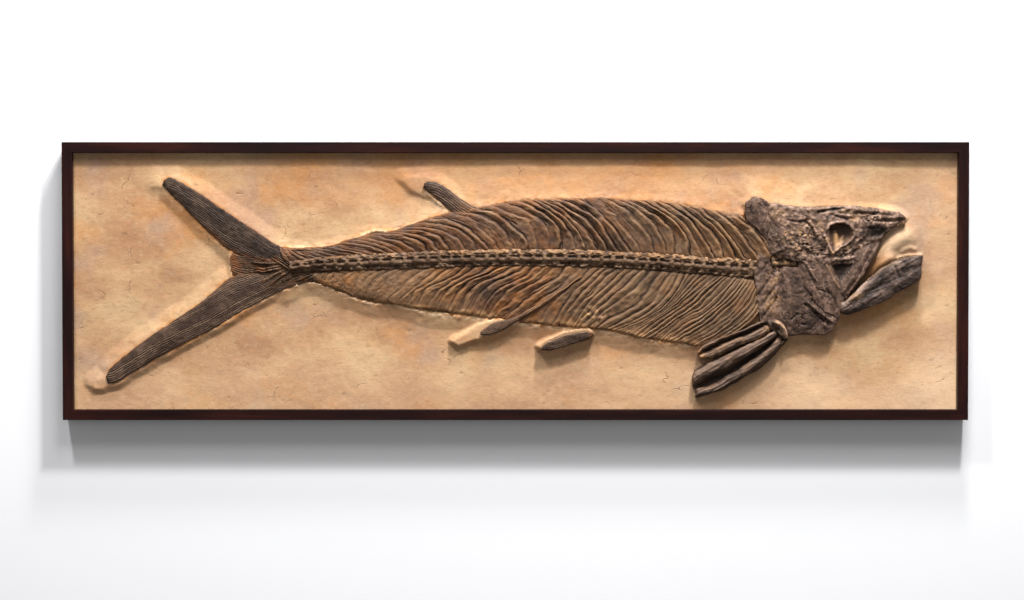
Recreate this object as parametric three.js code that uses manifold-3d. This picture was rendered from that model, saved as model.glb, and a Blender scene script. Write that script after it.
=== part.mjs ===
// A framed fossil fish slab: a large predatory fish lying in a panel of pale chalk matrix, in a dark wooden
// frame that hangs flat against a wall. Millimetres. X runs towards the fish's head, Z is up, -Y faces the
// viewer, and the origin is the centre of the flat back, which goes against the wall.
import * as THREE from 'three';
import { ParametricGeometry } from 'three/addons/geometries/ParametricGeometry.js';
import { mergeVertices } from 'three/addons/utils/BufferGeometryUtils.js';
import Module from 'manifold-3d';

const wasm = await Module();
wasm.setup();

// Driving dimensions.
const FRAME_LENGTH = 4500;
const FRAME_HEIGHT = 1380;
const FRAME_DEPTH = 110; // from the wall to the frame's front edge
const RAIL_FACE = 52; // the frame's width as seen from the front
const LIP = 10; // how far the frame laps over the slab's edge
const LIP_DEPTH = 36; // the slab's face lies this far behind the frame's front edge
const EDGE_RADIUS = 3; // rounding of the frame's two front edges
const BOARD = 18; // backing board
const GAP = 0.3; // clearance between touching pieces
const FIT = 0.5; // clearance round the board and the slab inside the frame
const BED = 20; // the slab rises this far under the fish
const BANK = 34; // width of the slope from the slab's face up to that bed
const BED_MARGIN = 12; // level bed left showing round each bone
const SLIVER = 0.2; // edges shorter than this, left where mounds cross, are merged away

// Depths measured from the wall.
const SLAB_FACE = FRAME_DEPTH - LIP_DEPTH;
const SEAT = SLAB_FACE + BED + GAP;

// The panel's own coordinates: x along, y up, z out from the wall.
const panel = new THREE.Group();
panel.rotation.x = Math.PI / 2;
const fossilSlab = new THREE.Group();
fossilSlab.add(panel);

const materials = {
  frameWood: new THREE.MeshStandardMaterial({ color: 0x35201b, roughness: 0.5, metalness: 0 }),
  board: new THREE.MeshStandardMaterial({ color: 0xb58e5f, roughness: 0.8, metalness: 0 }),
  matrix: new THREE.MeshStandardMaterial({ color: 0xd3a97c, roughness: 0.9, metalness: 0 }),
  ribBed: new THREE.MeshStandardMaterial({ color: 0x6d4d35, roughness: 0.8, metalness: 0 }),
  bone: new THREE.MeshStandardMaterial({ color: 0x5a4a40, roughness: 0.7, metalness: 0 }),
  finBone: new THREE.MeshStandardMaterial({ color: 0x453a34, roughness: 0.65, metalness: 0 }),
};

function addPiece(name, geometry, material) {
  const mesh = new THREE.Mesh(geometry, material);
  mesh.name = name;
  panel.add(mesh);
}

// A closed geometry with shared vertices merged and collapsed triangles dropped.
function closed(geometry) {
  const bare = geometry.clone();
  bare.deleteAttribute('normal');
  bare.deleteAttribute('uv');
  const merged = mergeVertices(bare, 1e-3);
  const index = merged.index.array;
  const kept = [];
  for (let i = 0; i < index.length; i += 3) {
    const [a, b, c] = index.slice(i, i + 3);
    if (a !== b && b !== c && c !== a) kept.push(a, b, c);
  }
  merged.setIndex(kept);
  merged.computeVertexNormals();
  return merged;
}

function toSolid(geometry) {
  return new wasm.Manifold(new wasm.Mesh({
    numProp: 3,
    vertProperties: new Float32Array(geometry.attributes.position.array),
    triVerts: new Uint32Array(geometry.index.array),
  }));
}

function toGeometry(solid) {
  const mesh = solid.getMesh();
  const geometry = new THREE.BufferGeometry();
  geometry.setAttribute('position', new THREE.BufferAttribute(mesh.vertProperties, 3));
  geometry.setIndex(new THREE.BufferAttribute(mesh.triVerts, 1));
  geometry.computeVertexNormals();
  return geometry;
}

// A low relief solid between two edges. Each station is [x, y, x, y]: a point on the first edge and the point
// across from it on the second, and splines join the stations. profile lists the section's points as
// [share of the way across, depth from the wall], and the back is flat at the depth `back`.
function relief(stations, profile, back, steps) {
  const first = new THREE.SplineCurve(stations.map((s) => new THREE.Vector2(s[0], s[1])));
  const second = new THREE.SplineCurve(stations.map((s) => new THREE.Vector2(s[2], s[3])));
  const section = [...profile, [1, back], [0, back]];
  // The first and last rings fold flat onto the back's edge, which closes both ends.
  const rings = steps + 2;
  const place = (u, v, target) => {
    const row = Math.round(u * rings);
    const [share, depth] = section[Math.round(v * section.length) % section.length];
    const along = THREE.MathUtils.clamp((row - 1) / steps, 0, 1);
    const atEnd = row === 0 || row === rings;
    const across = atEnd ? Math.round(share) : share;
    const a = first.getPoint(along);
    const b = second.getPoint(along);
    target.set(a.x + (b.x - a.x) * across, a.y + (b.y - a.y) * across, atEnd ? back : depth);
  };
  return closed(new ParametricGeometry(place, rings, section.length));
}

// A crowned section: straight sides up to rim, then a dome up to crown, both measured over the slab's face.
function crowned(rim, crown, spans = 4) {
  const section = [];
  for (let i = 0; i <= spans; i++) {
    const share = i / spans;
    const dome = Math.sin(Math.PI * share) ** 0.8;
    section.push([share, SLAB_FACE + rim + (crown - rim) * dome]);
  }
  return section;
}

function addBone(name, stations, rim, crown, material, steps = 3 * stations.length) {
  addPiece(name, relief(stations, crowned(rim, crown), SEAT, steps), material);
}

// ---- the frame: four mitred rails of one moulding ----

// The moulding's section as [depth from the wall, distance from the frame's outer edge].
function mouldingSection() {
  const shape = new THREE.Shape();
  const r = EDGE_RADIUS;
  shape.moveTo(0, 0);
  shape.lineTo(FRAME_DEPTH - r, 0);
  shape.absarc(FRAME_DEPTH - r, r, r, -Math.PI / 2, 0, false);
  shape.lineTo(FRAME_DEPTH, RAIL_FACE - r);
  shape.absarc(FRAME_DEPTH - r, RAIL_FACE - r, r, 0, Math.PI / 2, false);
  shape.lineTo(SLAB_FACE + GAP, RAIL_FACE);
  shape.lineTo(SLAB_FACE + GAP, RAIL_FACE - LIP);
  shape.lineTo(0, RAIL_FACE - LIP);
  shape.closePath();
  return shape;
}

// A rail of the given outer length, whose outer edge is half of `across` from the panel's centre. Its ends
// are cut back as far as each point lies from the outer edge, which makes the 45 degree mitres.
function rail(length, across) {
  const settings = { depth: 1, bevelEnabled: false, curveSegments: 4 };
  const bar = new THREE.ExtrudeGeometry(mouldingSection(), settings);
  const position = bar.attributes.position;
  for (let i = 0; i < position.count; i++) {
    const depth = position.getX(i);
    const inset = position.getY(i);
    const end = position.getZ(i) > 0.5 ? 1 : -1;
    position.setXYZ(i, end * (length / 2 - inset - GAP / 2), across / 2 - inset, depth);
  }
  return closed(bar);
}

addPiece('frame_top_rail', rail(FRAME_LENGTH, FRAME_HEIGHT), materials.frameWood);
addPiece('frame_bottom_rail', rail(FRAME_LENGTH, FRAME_HEIGHT).rotateZ(Math.PI), materials.frameWood);
addPiece('frame_left_stile', rail(FRAME_HEIGHT, FRAME_LENGTH).rotateZ(Math.PI / 2), materials.frameWood);
addPiece('frame_right_stile', rail(FRAME_HEIGHT, FRAME_LENGTH).rotateZ(-Math.PI / 2), materials.frameWood);

// ---- the backing board and the chalk slab, both held inside the frame ----

const INNER_LENGTH = FRAME_LENGTH - 2 * (RAIL_FACE - LIP + FIT);
const INNER_HEIGHT = FRAME_HEIGHT - 2 * (RAIL_FACE - LIP + FIT);

function plate(back, front) {
  const box = new THREE.BoxGeometry(INNER_LENGTH, INNER_HEIGHT, front - back);
  return closed(box.translate(0, 0, (front + back) / 2));
}

addPiece('back_board', plate(0, BOARD), materials.board);

// ---- the fish, as stations in panel millimetres: first edge x, y, then second edge x, y ----

// The backbone's line, from the tail to the skull.
const SPINE_LINE = [
  [-1118, 66], [-1000, 80], [-800, 90], [-600, 97], [-400, 105], [-200, 110], [0, 113], [200, 113],
  [400, 109], [600, 99], [800, 86], [950, 75], [1100, 63], [1200, 62], [1300, 76], [1392, 84],
];
const CENTRUM_LENGTH = 59;
const CENTRUM_RADIUS = 27;
const CENTRUM_WAIST = 21;
const SPINE_HEIGHT = 40; // the backbone's axis over the slab's face

const UPPER_FLANK = [
  [-1165, 122, -1165, 182], [-1050, 112, -1050, 168], [-950, 117, -950, 165], [-850, 121, -850, 193],
  [-780, 123, -780, 224], [-700, 126, -700, 250], [-600, 129, -600, 256], [-500, 133, -500, 288],
  [-400, 137, -400, 322], [-320, 140, -320, 342], [-220, 142, -220, 362], [-130, 144, -130, 378],
  [-60, 145, -60, 374], [20, 146, 20, 402], [120, 147, 120, 406], [250, 146, 250, 406],
  [430, 140, 430, 417], [600, 132, 600, 403], [750, 122, 750, 393], [900, 112, 900, 375],
  [1020, 102, 1000, 350], [1110, 95, 1090, 337], [1190, 92, 1133, 318], [1240, 98, 1179, 262],
  [1275, 112, 1240, 207], [1300, 128, 1292, 146],
];
const LOWER_FLANK = [
  [-1006, 4, -1004, 44], [-940, -28, -940, 50], [-860, -54, -860, 54], [-760, -86, -760, 58],
  [-680, -101, -680, 60], [-600, -108, -600, 63], [-500, -132, -500, 67], [-410, -158, -410, 71],
  [-300, -162, -300, 75], [-200, -176, -200, 78], [-100, -196, -100, 80], [0, -203, 0, 81],
  [100, -214, 100, 81], [220, -228, 220, 80], [330, -228, 330, 78], [430, -250, 430, 74],
  [560, -270, 560, 68], [680, -292, 680, 62], [800, -300, 800, 54], [900, -322, 900, 50],
  [960, -318, 990, 40], [1030, -282, 1080, 31], [1110, -232, 1150, 27], [1186, -196, 1184, 4],
  [1207, -170, 1200, -60],
];
const SHOULDER_GIRDLE = [
  [1318, -194, 1226, -190], [1326, -120, 1218, -110], [1330, -50, 1212, -44], [1338, 10, 1196, 10],
  [1345, 40, 1216, 26],
];
const NAPE_PLATE = [
  [1138, 344, 1138, 356], [1152, 308, 1146, 390], [1192, 266, 1172, 417], [1242, 212, 1206, 419],
  [1294, 156, 1250, 396], [1308, 176, 1288, 345], [1314, 200, 1310, 280],
];
const SKULL = [
  [1308, 142, 1318, 172], [1345, 118, 1324, 215], [1400, 114, 1318, 285], [1440, 108, 1300, 352],
  [1480, 104, 1400, 371], [1540, 104, 1500, 364], [1600, 118, 1590, 376], [1680, 106, 1660, 372],
  [1706, 150, 1720, 368], [1740, 201, 1780, 360], [1802, 207, 1822, 355], [1845, 243, 1862, 351],
  [1858, 272, 1892, 345], [1905, 294, 1922, 329], [1930, 302, 1938, 314],
];
const GILL_COVER = [
  [1352, -262, 1352, 38], [1400, -266, 1396, 44], [1450, -264, 1440, -38], [1510, -262, 1482, -103],
  [1560, -250, 1532, -149], [1592, -210, 1575, -171], [1602, -190, 1600, -180],
];
const CHEEK_PLATE = [
  [1402, 44, 1403, 92], [1446, -28, 1450, 94], [1488, -94, 1520, 92], [1538, -140, 1590, 104],
  [1574, -160, 1652, 96], [1590, -164, 1652, 60], [1597, -148, 1630, 20], [1594, -112, 1594, -24],
];
const UPPER_JAW = [
  [1620, -86, 1610, -76], [1654, -60, 1620, -28], [1686, -24, 1652, 14], [1710, 12, 1674, 54],
  [1730, 56, 1692, 98], [1754, 96, 1716, 144], [1784, 132, 1748, 190], [1798, 166, 1799, 198],
];
const LOWER_JAW = [
  [1606, -134, 1606, -114], [1632, -160, 1642, -98], [1700, -155, 1692, -46], [1760, -128, 1742, 8],
  [1820, -98, 1800, 48], [1880, -62, 1860, 88], [1940, -34, 1915, 116], [1990, -2, 1970, 130],
  [2012, 22, 2016, 132],
];
const PECTORAL_RAYS = [
  [[912, -368, 908, -354], [1000, -366, 960, -324], [1090, -322, 1060, -268], [1180, -272, 1160, -218],
    [1262, -230, 1240, -202]],
  [[888, -494, 884, -484], [960, -470, 930, -440], [1060, -424, 1030, -380], [1160, -372, 1130, -326],
    [1250, -318, 1215, -276], [1300, -262, 1276, -236]],
  [[892, -574, 894, -560], [980, -556, 960, -522], [1080, -506, 1060, -462], [1170, -446, 1150, -404],
    [1250, -380, 1232, -336], [1318, -300, 1300, -276]],
  [[1168, -474, 1163, -466], [1237, -422, 1229, -412], [1303, -356, 1293, -346], [1346, -296, 1334, -294]],
];
const PECTORAL_BASE = [
  [1272, -230, 1250, -200], [1304, -256, 1278, -198], [1328, -274, 1304, -198], [1350, -276, 1328, -214],
];
const PELVIC_FIN = [
  [122, -338, 120, -322], [160, -346, 170, -298], [230, -330, 235, -276], [300, -310, 300, -254],
  [352, -294, 345, -244], [382, -272, 378, -256],
];
const ANAL_FIN = [
  [-162, -272, -160, -262], [-120, -264, -130, -238], [-60, -238, -96, -208], [-10, -216, -40, -210],
];
const DORSAL_FIN = [
  [-456, 470, -450, 488], [-440, 455, -425, 496], [-400, 425, -375, 482], [-350, 387, -330, 452],
  [-310, 356, -280, 412], [-232, 368, -218, 376],
];
const TAIL_UPPER_LOBE = [
  [-1748, 478, -1742, 500], [-1725, 448, -1705, 514], [-1660, 384, -1640, 482], [-1580, 300, -1550, 428],
  [-1500, 214, -1450, 352], [-1430, 164, -1350, 286], [-1350, 134, -1270, 240], [-1270, 110, -1206, 194],
  [-1200, 102, -1174, 160],
];
const TAIL_LOWER_LOBE = [
  [-2022, -506, -2036, -478], [-1980, -498, -2015, -425], [-1900, -460, -1930, -356],
  [-1800, -406, -1830, -284], [-1690, -346, -1700, -200], [-1580, -288, -1590, -128],
  [-1480, -230, -1500, -52], [-1380, -180, -1420, 10], [-1280, -126, -1300, 18], [-1180, -78, -1200, 22],
  [-1090, -28, -1100, 28], [-1022, 0, -1030, 34],
];
const TAIL_FAN = [
  [-1408, 20, -1424, 150], [-1340, 24, -1348, 124], [-1270, 26, -1272, 100], [-1190, 30, -1192, 92],
  [-1130, 34, -1132, 90],
];

// ---- the slab: a plate that rises to a level bed under each part of the fish ----

// The stations of an outline pushed outwards by `reach` across it and past its ends.
function grown(stations, reach) {
  const spread = stations.map(([ax, ay, bx, by]) => {
    const across = new THREE.Vector2(bx - ax, by - ay).normalize().multiplyScalar(reach);
    return [ax - across.x, ay - across.y, bx + across.x, by + across.y];
  });
  const last = spread.length - 1;
  const endShift = (from, to) => {
    const middle = (s) => new THREE.Vector2((s[0] + s[2]) / 2, (s[1] + s[3]) / 2);
    return middle(stations[to]).sub(middle(stations[from])).normalize().multiplyScalar(reach);
  };
  const moved = (s, by) => [s[0] + by.x, s[1] + by.y, s[2] + by.x, s[3] + by.y];
  return [moved(spread[0], endShift(1, 0)), ...spread, moved(spread[last], endShift(last - 1, last))];
}

// A mound whose sides slope over BANK up to the bed. Its level top is the outline grown by BED_MARGIN.
function mound(stations) {
  const foot = grown(stations, BED_MARGIN + BANK);
  const top = grown(stations, BED_MARGIN);
  const depths = [SLAB_FACE - 1, SLAB_FACE + BED];
  const steps = 2 * stations.length;
  const curve = (list, at) => new THREE.SplineCurve(list.map((s) => new THREE.Vector2(s[at], s[at + 1])));
  const lines = [curve(foot, 0), curve(top, 0), curve(top, 2), curve(foot, 2)];
  const rings = steps + 2;
  const place = (u, v, target) => {
    const row = Math.round(u * rings);
    const column = Math.round(v * 4) % 4;
    const along = THREE.MathUtils.clamp((row - 1) / steps, 0, 1);
    const end = row === 0 || row === rings;
    // The end rings take the foot's line for the top's points as well, and so lie flat at the foot.
    const outer = column < 2 ? lines[0] : lines[3];
    const line = end ? outer : lines[column];
    const at = line.getPoint(along);
    target.set(at.x, at.y, end || column === 0 || column === 3 ? depths[0] : depths[1]);
  };
  return closed(new ParametricGeometry(place, rings, 4));
}

const BODY_OUTLINE = [
  [-1150, -40, -1150, 182], [-1010, 4, -1010, 166], [-850, -56, -850, 193], [-600, -108, -600, 256],
  [-400, -158, -400, 322], [-200, -178, -200, 362], [0, -203, 0, 398], [250, -230, 250, 406],
  [560, -270, 560, 406], [800, -300, 800, 388], [910, -330, 1000, 352], [1110, -232, 1150, 400],
  [1230, -200, 1250, 398],
];
const HEAD_OUTLINE = [
  [1230, -200, 1200, 415], [1352, -266, 1320, 374], [1480, -266, 1500, 368], [1590, -210, 1640, 374],
  [1655, -95, 1760, 362], [1730, 10, 1860, 350], [1815, 160, 1935, 318],
];
const PECTORAL_OUTLINE = [
  [892, -576, 906, -350], [1000, -552, 980, -310], [1170, -468, 1130, -230], [1300, -352, 1240, -200],
  [1352, -280, 1330, -196],
];

function slab() {
  const outlines = [
    BODY_OUTLINE, HEAD_OUTLINE, LOWER_JAW, PECTORAL_OUTLINE, PELVIC_FIN, ANAL_FIN, DORSAL_FIN,
    TAIL_UPPER_LOBE, TAIL_LOWER_LOBE, TAIL_FAN,
  ];
  let solid = toSolid(plate(BOARD + GAP, SLAB_FACE));
  for (const outline of outlines) solid = solid.add(toSolid(mound(outline)));
  return toGeometry(solid.simplify(SLIVER));
}

addPiece('matrix_slab', slab(), materials.matrix);

// ---- the backbone: a row of spool-shaped centra, cut off flat on the bed ----

function backbone() {
  const line = new THREE.SplineCurve(SPINE_LINE.map(([x, y]) => new THREE.Vector2(x, y)));
  const centra = Math.round(line.getLength() / CENTRUM_LENGTH);
  const sides = 8;
  const rings = 2 * centra; // a rim at each joint and a waist between
  const place = (u, v, target) => {
    const row = Math.round(u * (rings + 2));
    const along = THREE.MathUtils.clamp((row - 1) / rings, 0, 1);
    const collapsed = row === 0 || row === rings + 2;
    const girth = (row - 1) % 2 === 0 ? CENTRUM_RADIUS : CENTRUM_WAIST;
    const radius = collapsed ? 0 : girth;
    const angle = v * 2 * Math.PI;
    const at = line.getPointAt(along);
    const axis = SLAB_FACE + SPINE_HEIGHT;
    target.set(at.x, at.y + radius * Math.cos(angle), Math.max(SEAT, axis - radius * Math.sin(angle)));
  };
  return closed(new ParametricGeometry(place, rings + 2, sides));
}

// ---- the bones ----

addBone('upper_flank', UPPER_FLANK, 26, 46, materials.ribBed, 50);
addBone('lower_flank', LOWER_FLANK, 28, 44, materials.ribBed, 48);
addPiece('backbone', backbone(), materials.bone);
addBone('shoulder_girdle', SHOULDER_GIRDLE, 32, 48, materials.bone);
addBone('nape_plate', NAPE_PLATE, 38, 58, materials.bone);
addBone('skull', SKULL, 44, 82, materials.bone, 30);
addBone('gill_cover', GILL_COVER, 38, 62, materials.bone);
addBone('cheek_plate', CHEEK_PLATE, 48, 70, materials.bone);
addBone('upper_jaw', UPPER_JAW, 54, 78, materials.bone);
addBone('lower_jaw', LOWER_JAW, 52, 76, materials.bone);
PECTORAL_RAYS.forEach((stations, i) => {
  addBone(`pectoral_ray_${i + 1}`, stations, 52, 72, materials.finBone);
});
addBone('pectoral_base', PECTORAL_BASE, 46, 74, materials.finBone);
addBone('pelvic_fin', PELVIC_FIN, 36, 52, materials.finBone);
addBone('anal_fin', ANAL_FIN, 30, 42, materials.finBone);
addBone('dorsal_fin', DORSAL_FIN, 28, 42, materials.finBone);
addBone('tail_upper_lobe', TAIL_UPPER_LOBE, 28, 42, materials.finBone, 20);
addBone('tail_lower_lobe', TAIL_LOWER_LOBE, 28, 42, materials.finBone, 24);
addBone('tail_fan', TAIL_FAN, 26, 36, materials.finBone, 10);

export default fossilSlab;
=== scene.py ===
"""Looks of the framed fossil fish slab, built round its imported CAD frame.

Shapes are worked in panel millimetres: x along the panel towards the fish's head, z up, and height out from
the wall. Every sculpted piece is a closed relief: a grid of front points, straight sides and a flat back.
Every noise has its own seed, so each run gives the same shapes.
"""
import functools
import math

import bpy
import numpy as np
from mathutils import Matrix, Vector


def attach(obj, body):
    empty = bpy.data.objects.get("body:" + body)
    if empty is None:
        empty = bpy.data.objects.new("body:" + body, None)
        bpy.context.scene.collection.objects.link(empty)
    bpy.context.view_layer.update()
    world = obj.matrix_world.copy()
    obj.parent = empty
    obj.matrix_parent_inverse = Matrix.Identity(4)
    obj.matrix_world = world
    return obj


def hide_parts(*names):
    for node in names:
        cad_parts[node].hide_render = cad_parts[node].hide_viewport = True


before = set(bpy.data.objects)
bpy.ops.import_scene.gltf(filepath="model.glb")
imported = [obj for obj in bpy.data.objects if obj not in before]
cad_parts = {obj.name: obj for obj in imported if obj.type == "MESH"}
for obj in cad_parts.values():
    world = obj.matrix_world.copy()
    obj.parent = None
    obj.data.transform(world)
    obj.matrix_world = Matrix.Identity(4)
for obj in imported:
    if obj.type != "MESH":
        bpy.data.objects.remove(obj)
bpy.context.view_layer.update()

# ---- sizes in mm, all measured from the wall unless they say otherwise ----

MM = 0.001
FACE = 74.0  # the slab's face
BACK = 18.5  # the slab's back, on its board
SLAB_X = 2206.0  # half the slab's length
SLAB_Z = 646.0  # half its height
SEATING = 12.0  # how far above the slab's face a bone's back lies, down in its mound of stone
SHALLOW = 2.0  # the same for the thin bones of the tail and the dorsal fin


# ---- curves, noise and distances ----

LATTICE = 256  # random values each way before a noise repeats
NOISE_GAIN = 1.5  # brings the summed octaves back to about -1 to 1
TINY = 1e-6  # keeps divisions clear of zero


def spline(points, share):
    """Catmull-Rom curve through the rows of points, at the given shares (0 to 1) of its spans: a cubic
    between each two points whose slope at a point is half the step between that point's two neighbours."""
    points = np.asarray(points, float)
    count = len(points)
    padded = np.concatenate([2 * points[:1] - points[1:2], points, 2 * points[-1:] - points[-2:-1]])
    at = np.clip(np.asarray(share, float), 0, 1) * (count - 1)
    span = np.minimum(at.astype(int), count - 2)
    f = (at - span).reshape(at.shape + (1,) * (points.ndim - 1))
    a, b, c, d = (padded[span + k] for k in range(4))
    return 0.5 * (2 * b + (c - a) * f + (2 * a - 5 * b + 4 * c - d) * f**2 + (3 * b - a - 3 * c + d) * f**3)


def loft(keys, along, across):
    """Surface through key curves: each key's points are joined by a spline over the across shares, and
    splines over the along shares join the keys. Gives [along, across, (x, z)]."""
    keys = np.asarray(keys, float)
    rows = spline(keys.swapaxes(0, 1), across).swapaxes(0, 1)
    return spline(rows, along)


def between(stations, along, across):
    """Surface between two edges: splines through each station's first and second point, and straight lines
    across. Gives [along, across, (x, z)]."""
    edges = spline(stations, along)
    first, second = edges[:, None, :2], edges[:, None, 2:]
    return first + (second - first) * across[None, :, None]


def normals(line):
    """Unit vectors square to a line of points, on the left of its run."""
    tangent = np.gradient(line, axis=0)
    tangent /= np.hypot(tangent[:, 0], tangent[:, 1])[:, None]
    return np.stack([-tangent[:, 1], tangent[:, 0]], -1)


def smooth(low, high, value):
    """Smooth step: 0 below low, 1 above high, and 3t^2 - 2t^3 between. It falls where low is above high."""
    t = np.clip((value - low) / (high - low), 0, 1)
    return t * t * (3 - 2 * t)


def bell(value, centre, width, power=2):
    """exp(-((value - centre) / width)^power): 1 at the centre, and down to 0 on both sides of it."""
    return np.exp(-(((value - centre) / width) ** power))


def strongest(*values):
    """The greatest of several values at each point."""
    return functools.reduce(np.maximum, values)


def noise(x, z, size, seed, octaves=4, stretch=1.0):
    """Fractal value noise from -1 to 1: random lattice values spaced size mm apart (size times stretch
    along x) blended with a smooth step, plus finer copies at half the spacing and half the strength
    each."""
    total, strength, most = 0.0, 1.0, 0.0
    for k in range(octaves):
        table = np.random.default_rng(seed * 31 + k).uniform(-1, 1, (LATTICE, LATTICE))
        # Odd offsets keep the lattices of the octaves from lining up.
        u = x / (size * stretch) * 2**k + 37.3 * k + 11.7
        v = z / size * 2**k + 71.9 * k + 5.3
        i, j = np.floor(u).astype(int), np.floor(v).astype(int)
        f, g = u - i, v - j
        f, g = f * f * (3 - 2 * f), g * g * (3 - 2 * g)
        i0, i1, j0, j1 = i % LATTICE, (i + 1) % LATTICE, j % LATTICE, (j + 1) % LATTICE
        low = table[i0, j0] * (1 - f) + table[i1, j0] * f
        high = table[i0, j1] * (1 - f) + table[i1, j1] * f
        total = total + strength * (low * (1 - g) + high * g)
        most += strength
        strength *= 0.5
    return total / most * NOISE_GAIN


def wander(x, z, size, seeds, octaves=4):
    """A step (dx, dz) at each point: a noise of its own seed each way."""
    return np.stack([noise(x, z, size, seed, octaves) for seed in seeds], -1)


def line_distance(x, z, line):
    """Distance in mm from each point to a polyline, and how far above the line's nearest point it lies. One
    pass for each segment, over whole arrays."""
    line = np.asarray(line, float)
    best, above = np.full(np.shape(x), 1e9), np.zeros(np.shape(x))
    for a, b in zip(line[:-1], line[1:]):
        d = b - a
        t = np.clip(((x - a[0]) * d[0] + (z - a[1]) * d[1]) / max(d @ d, 1e-9), 0, 1)
        px, pz = x - a[0] - t * d[0], z - a[1] - t * d[1]
        near = np.hypot(px, pz)
        nearer = near < best
        best, above = np.where(nearer, near, best), np.where(nearer, pz, above)
    return best, above


def outline(stations, per_span=4):
    """Closed outline of a station list: along its first edge and back along its second."""
    edges = spline(stations, np.linspace(0, 1, per_span * (len(stations) - 1) + 1))
    return np.concatenate([edges[:, :2], edges[::-1, 2:], edges[:1, :2]])


def inside(x, z, ring):
    """True where a point lies in a closed outline: the count of edges that a line to its right crosses is
    odd."""
    odd = np.zeros(np.shape(x), bool)
    for (ax, az), (bx, bz) in zip(ring[:-1], ring[1:]):
        if az != bz:
            odd ^= ((az > z) != (bz > z)) & (x < (bx - ax) * (z - az) / (bz - az) + ax)
    return odd


def bowl(x, z, ring, width):
    """How far in from a closed outline a point lies: 0 outside, and a smooth step to 1 at width mm in."""
    return np.where(inside(x, z, ring), smooth(0, width, line_distance(x, z, ring)[0]), 0)


def blur(values, rows, columns):
    """Mean over a window of 2 rows + 1 by 2 columns + 1 samples, by differences of running sums."""
    for axis, reach in ((0, rows), (1, columns)):
        pad = [(0, 0), (0, 0)]
        pad[axis] = (reach + 1, reach)
        total = np.cumsum(np.pad(values, pad, mode="edge"), axis=axis)
        width = 2 * reach + 1
        upper = np.take(total, range(width, total.shape[axis]), axis=axis)
        lower = np.take(total, range(0, total.shape[axis] - width), axis=axis)
        values = (upper - lower) / width
    return values


def strokes(x, z, marks):
    """Height of sculpting strokes: each is (polyline, half width mm, height mm), and adds its height times
    a bell of the distance to its line. A negative height cuts a groove or a pit."""
    total = np.zeros(np.shape(x))
    for line, width, height in marks:
        total += height * bell(line_distance(x, z, line)[0], 0, width)
    return total


def spot(x, z, cx, cz, wide, tall, turn=0.0):
    """A soft elliptical spot: exp(-(u^2 + v^2)^2) of the turned distance over its half width and height."""
    u = ((x - cx) * math.cos(turn) + (z - cz) * math.sin(turn)) / wide
    v = (-(x - cx) * math.sin(turn) + (z - cz) * math.cos(turn)) / tall
    return np.exp(-((u * u + v * v) ** 2))


def patches(x, z, listed, seed, size=15):
    """Soft spots whose strength is broken up by seeded noise, the strongest winning at each point. Each
    listed one is (centre x, centre z, half width, half height, turn, strength, evenness)."""
    speckle = smooth(-0.1, 0.55, noise(x, z, size, seed, 4))
    total = np.zeros(np.shape(x))
    for cx, cz, wide, tall, turn, strength, even in listed:
        share = even + (1 - even) * speckle
        total = np.maximum(total, strength * spot(x, z, cx, cz, wide, tall, turn) * share)
    return total


def sutures(x, z, size, seeds, low):
    """Thin crooked cracks, 0 to 1: where a noise passes through zero and a slower one is above low."""
    line = smooth(0.07, 0.015, np.abs(noise(x, z, size, seeds[0], 4)))
    return line * smooth(low, 0.3, noise(x, z, 90, seeds[1], 2))


def blade(stations, counts, amount, size, seeds):
    """Grid of points between the two edges of a station list, each moved by amount mm (a number, or a
    function of x) times seeded noise. Gives the points, their x and z, and their shares along and
    across."""
    along, across = np.linspace(0, 1, counts[0]), np.linspace(0, 1, counts[1])
    points = between(stations, along, across)
    x, z = points[..., 0], points[..., 1]
    reach = np.asarray(amount(x) if callable(amount) else amount)
    points = points + reach[..., None] * wander(x, z, size, seeds)
    s, t = np.meshgrid(along, across, indexing="ij")
    return points, points[..., 0], points[..., 1], s, t


def domed(s, t, power, steep):
    """A dome over a blade: sin^power of the share across it, times the root of steep times the share to its
    nearer end, which is at most 1."""
    return np.sin(np.pi * np.clip(t, 0, 1)) ** power * np.minimum(1, steep * np.minimum(s, 1 - s)) ** 0.5


# ---- meshes ----

def solid(points, height, back, **values):
    """One closed relief. points [i, j, (x, z)] and height [i, j] are its front. A ring round each row i
    goes over the front and returns along the back, and a many-sided face closes each end. values are per
    point."""
    du, dv = np.gradient(points, axis=0), np.gradient(points, axis=1)
    if np.sum(du[..., 0] * dv[..., 1] - du[..., 1] * dv[..., 0]) < 0:
        points, height = points[:, ::-1], height[:, ::-1]
        values = {name: value[:, ::-1] for name, value in values.items()}
    rows, columns = height.shape
    base = np.full((rows, 1), float(back))
    ring = np.concatenate([points, points[:, -1:], points[:, :1]], axis=1)
    level = np.concatenate([height, base, base], axis=1)
    place = np.stack([ring[..., 0], -level, ring[..., 1]], axis=-1).reshape(-1, 3) * MM
    width = columns + 2
    index = np.arange(rows * width).reshape(rows, width)
    turned = np.roll(index, -1, axis=1)
    quads = np.stack([index[:-1], index[1:], turned[1:], turned[:-1]], axis=-1).reshape(-1)
    loops = np.concatenate([quads, index[0], index[-1, ::-1]])
    totals = np.concatenate([np.full((rows - 1) * width, 4), [width, width]])
    extended = {name: np.concatenate([value, value[:, -1:], value[:, :1]], axis=1).reshape(-1)
                for name, value in values.items()}
    return place, loops, totals, extended


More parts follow.
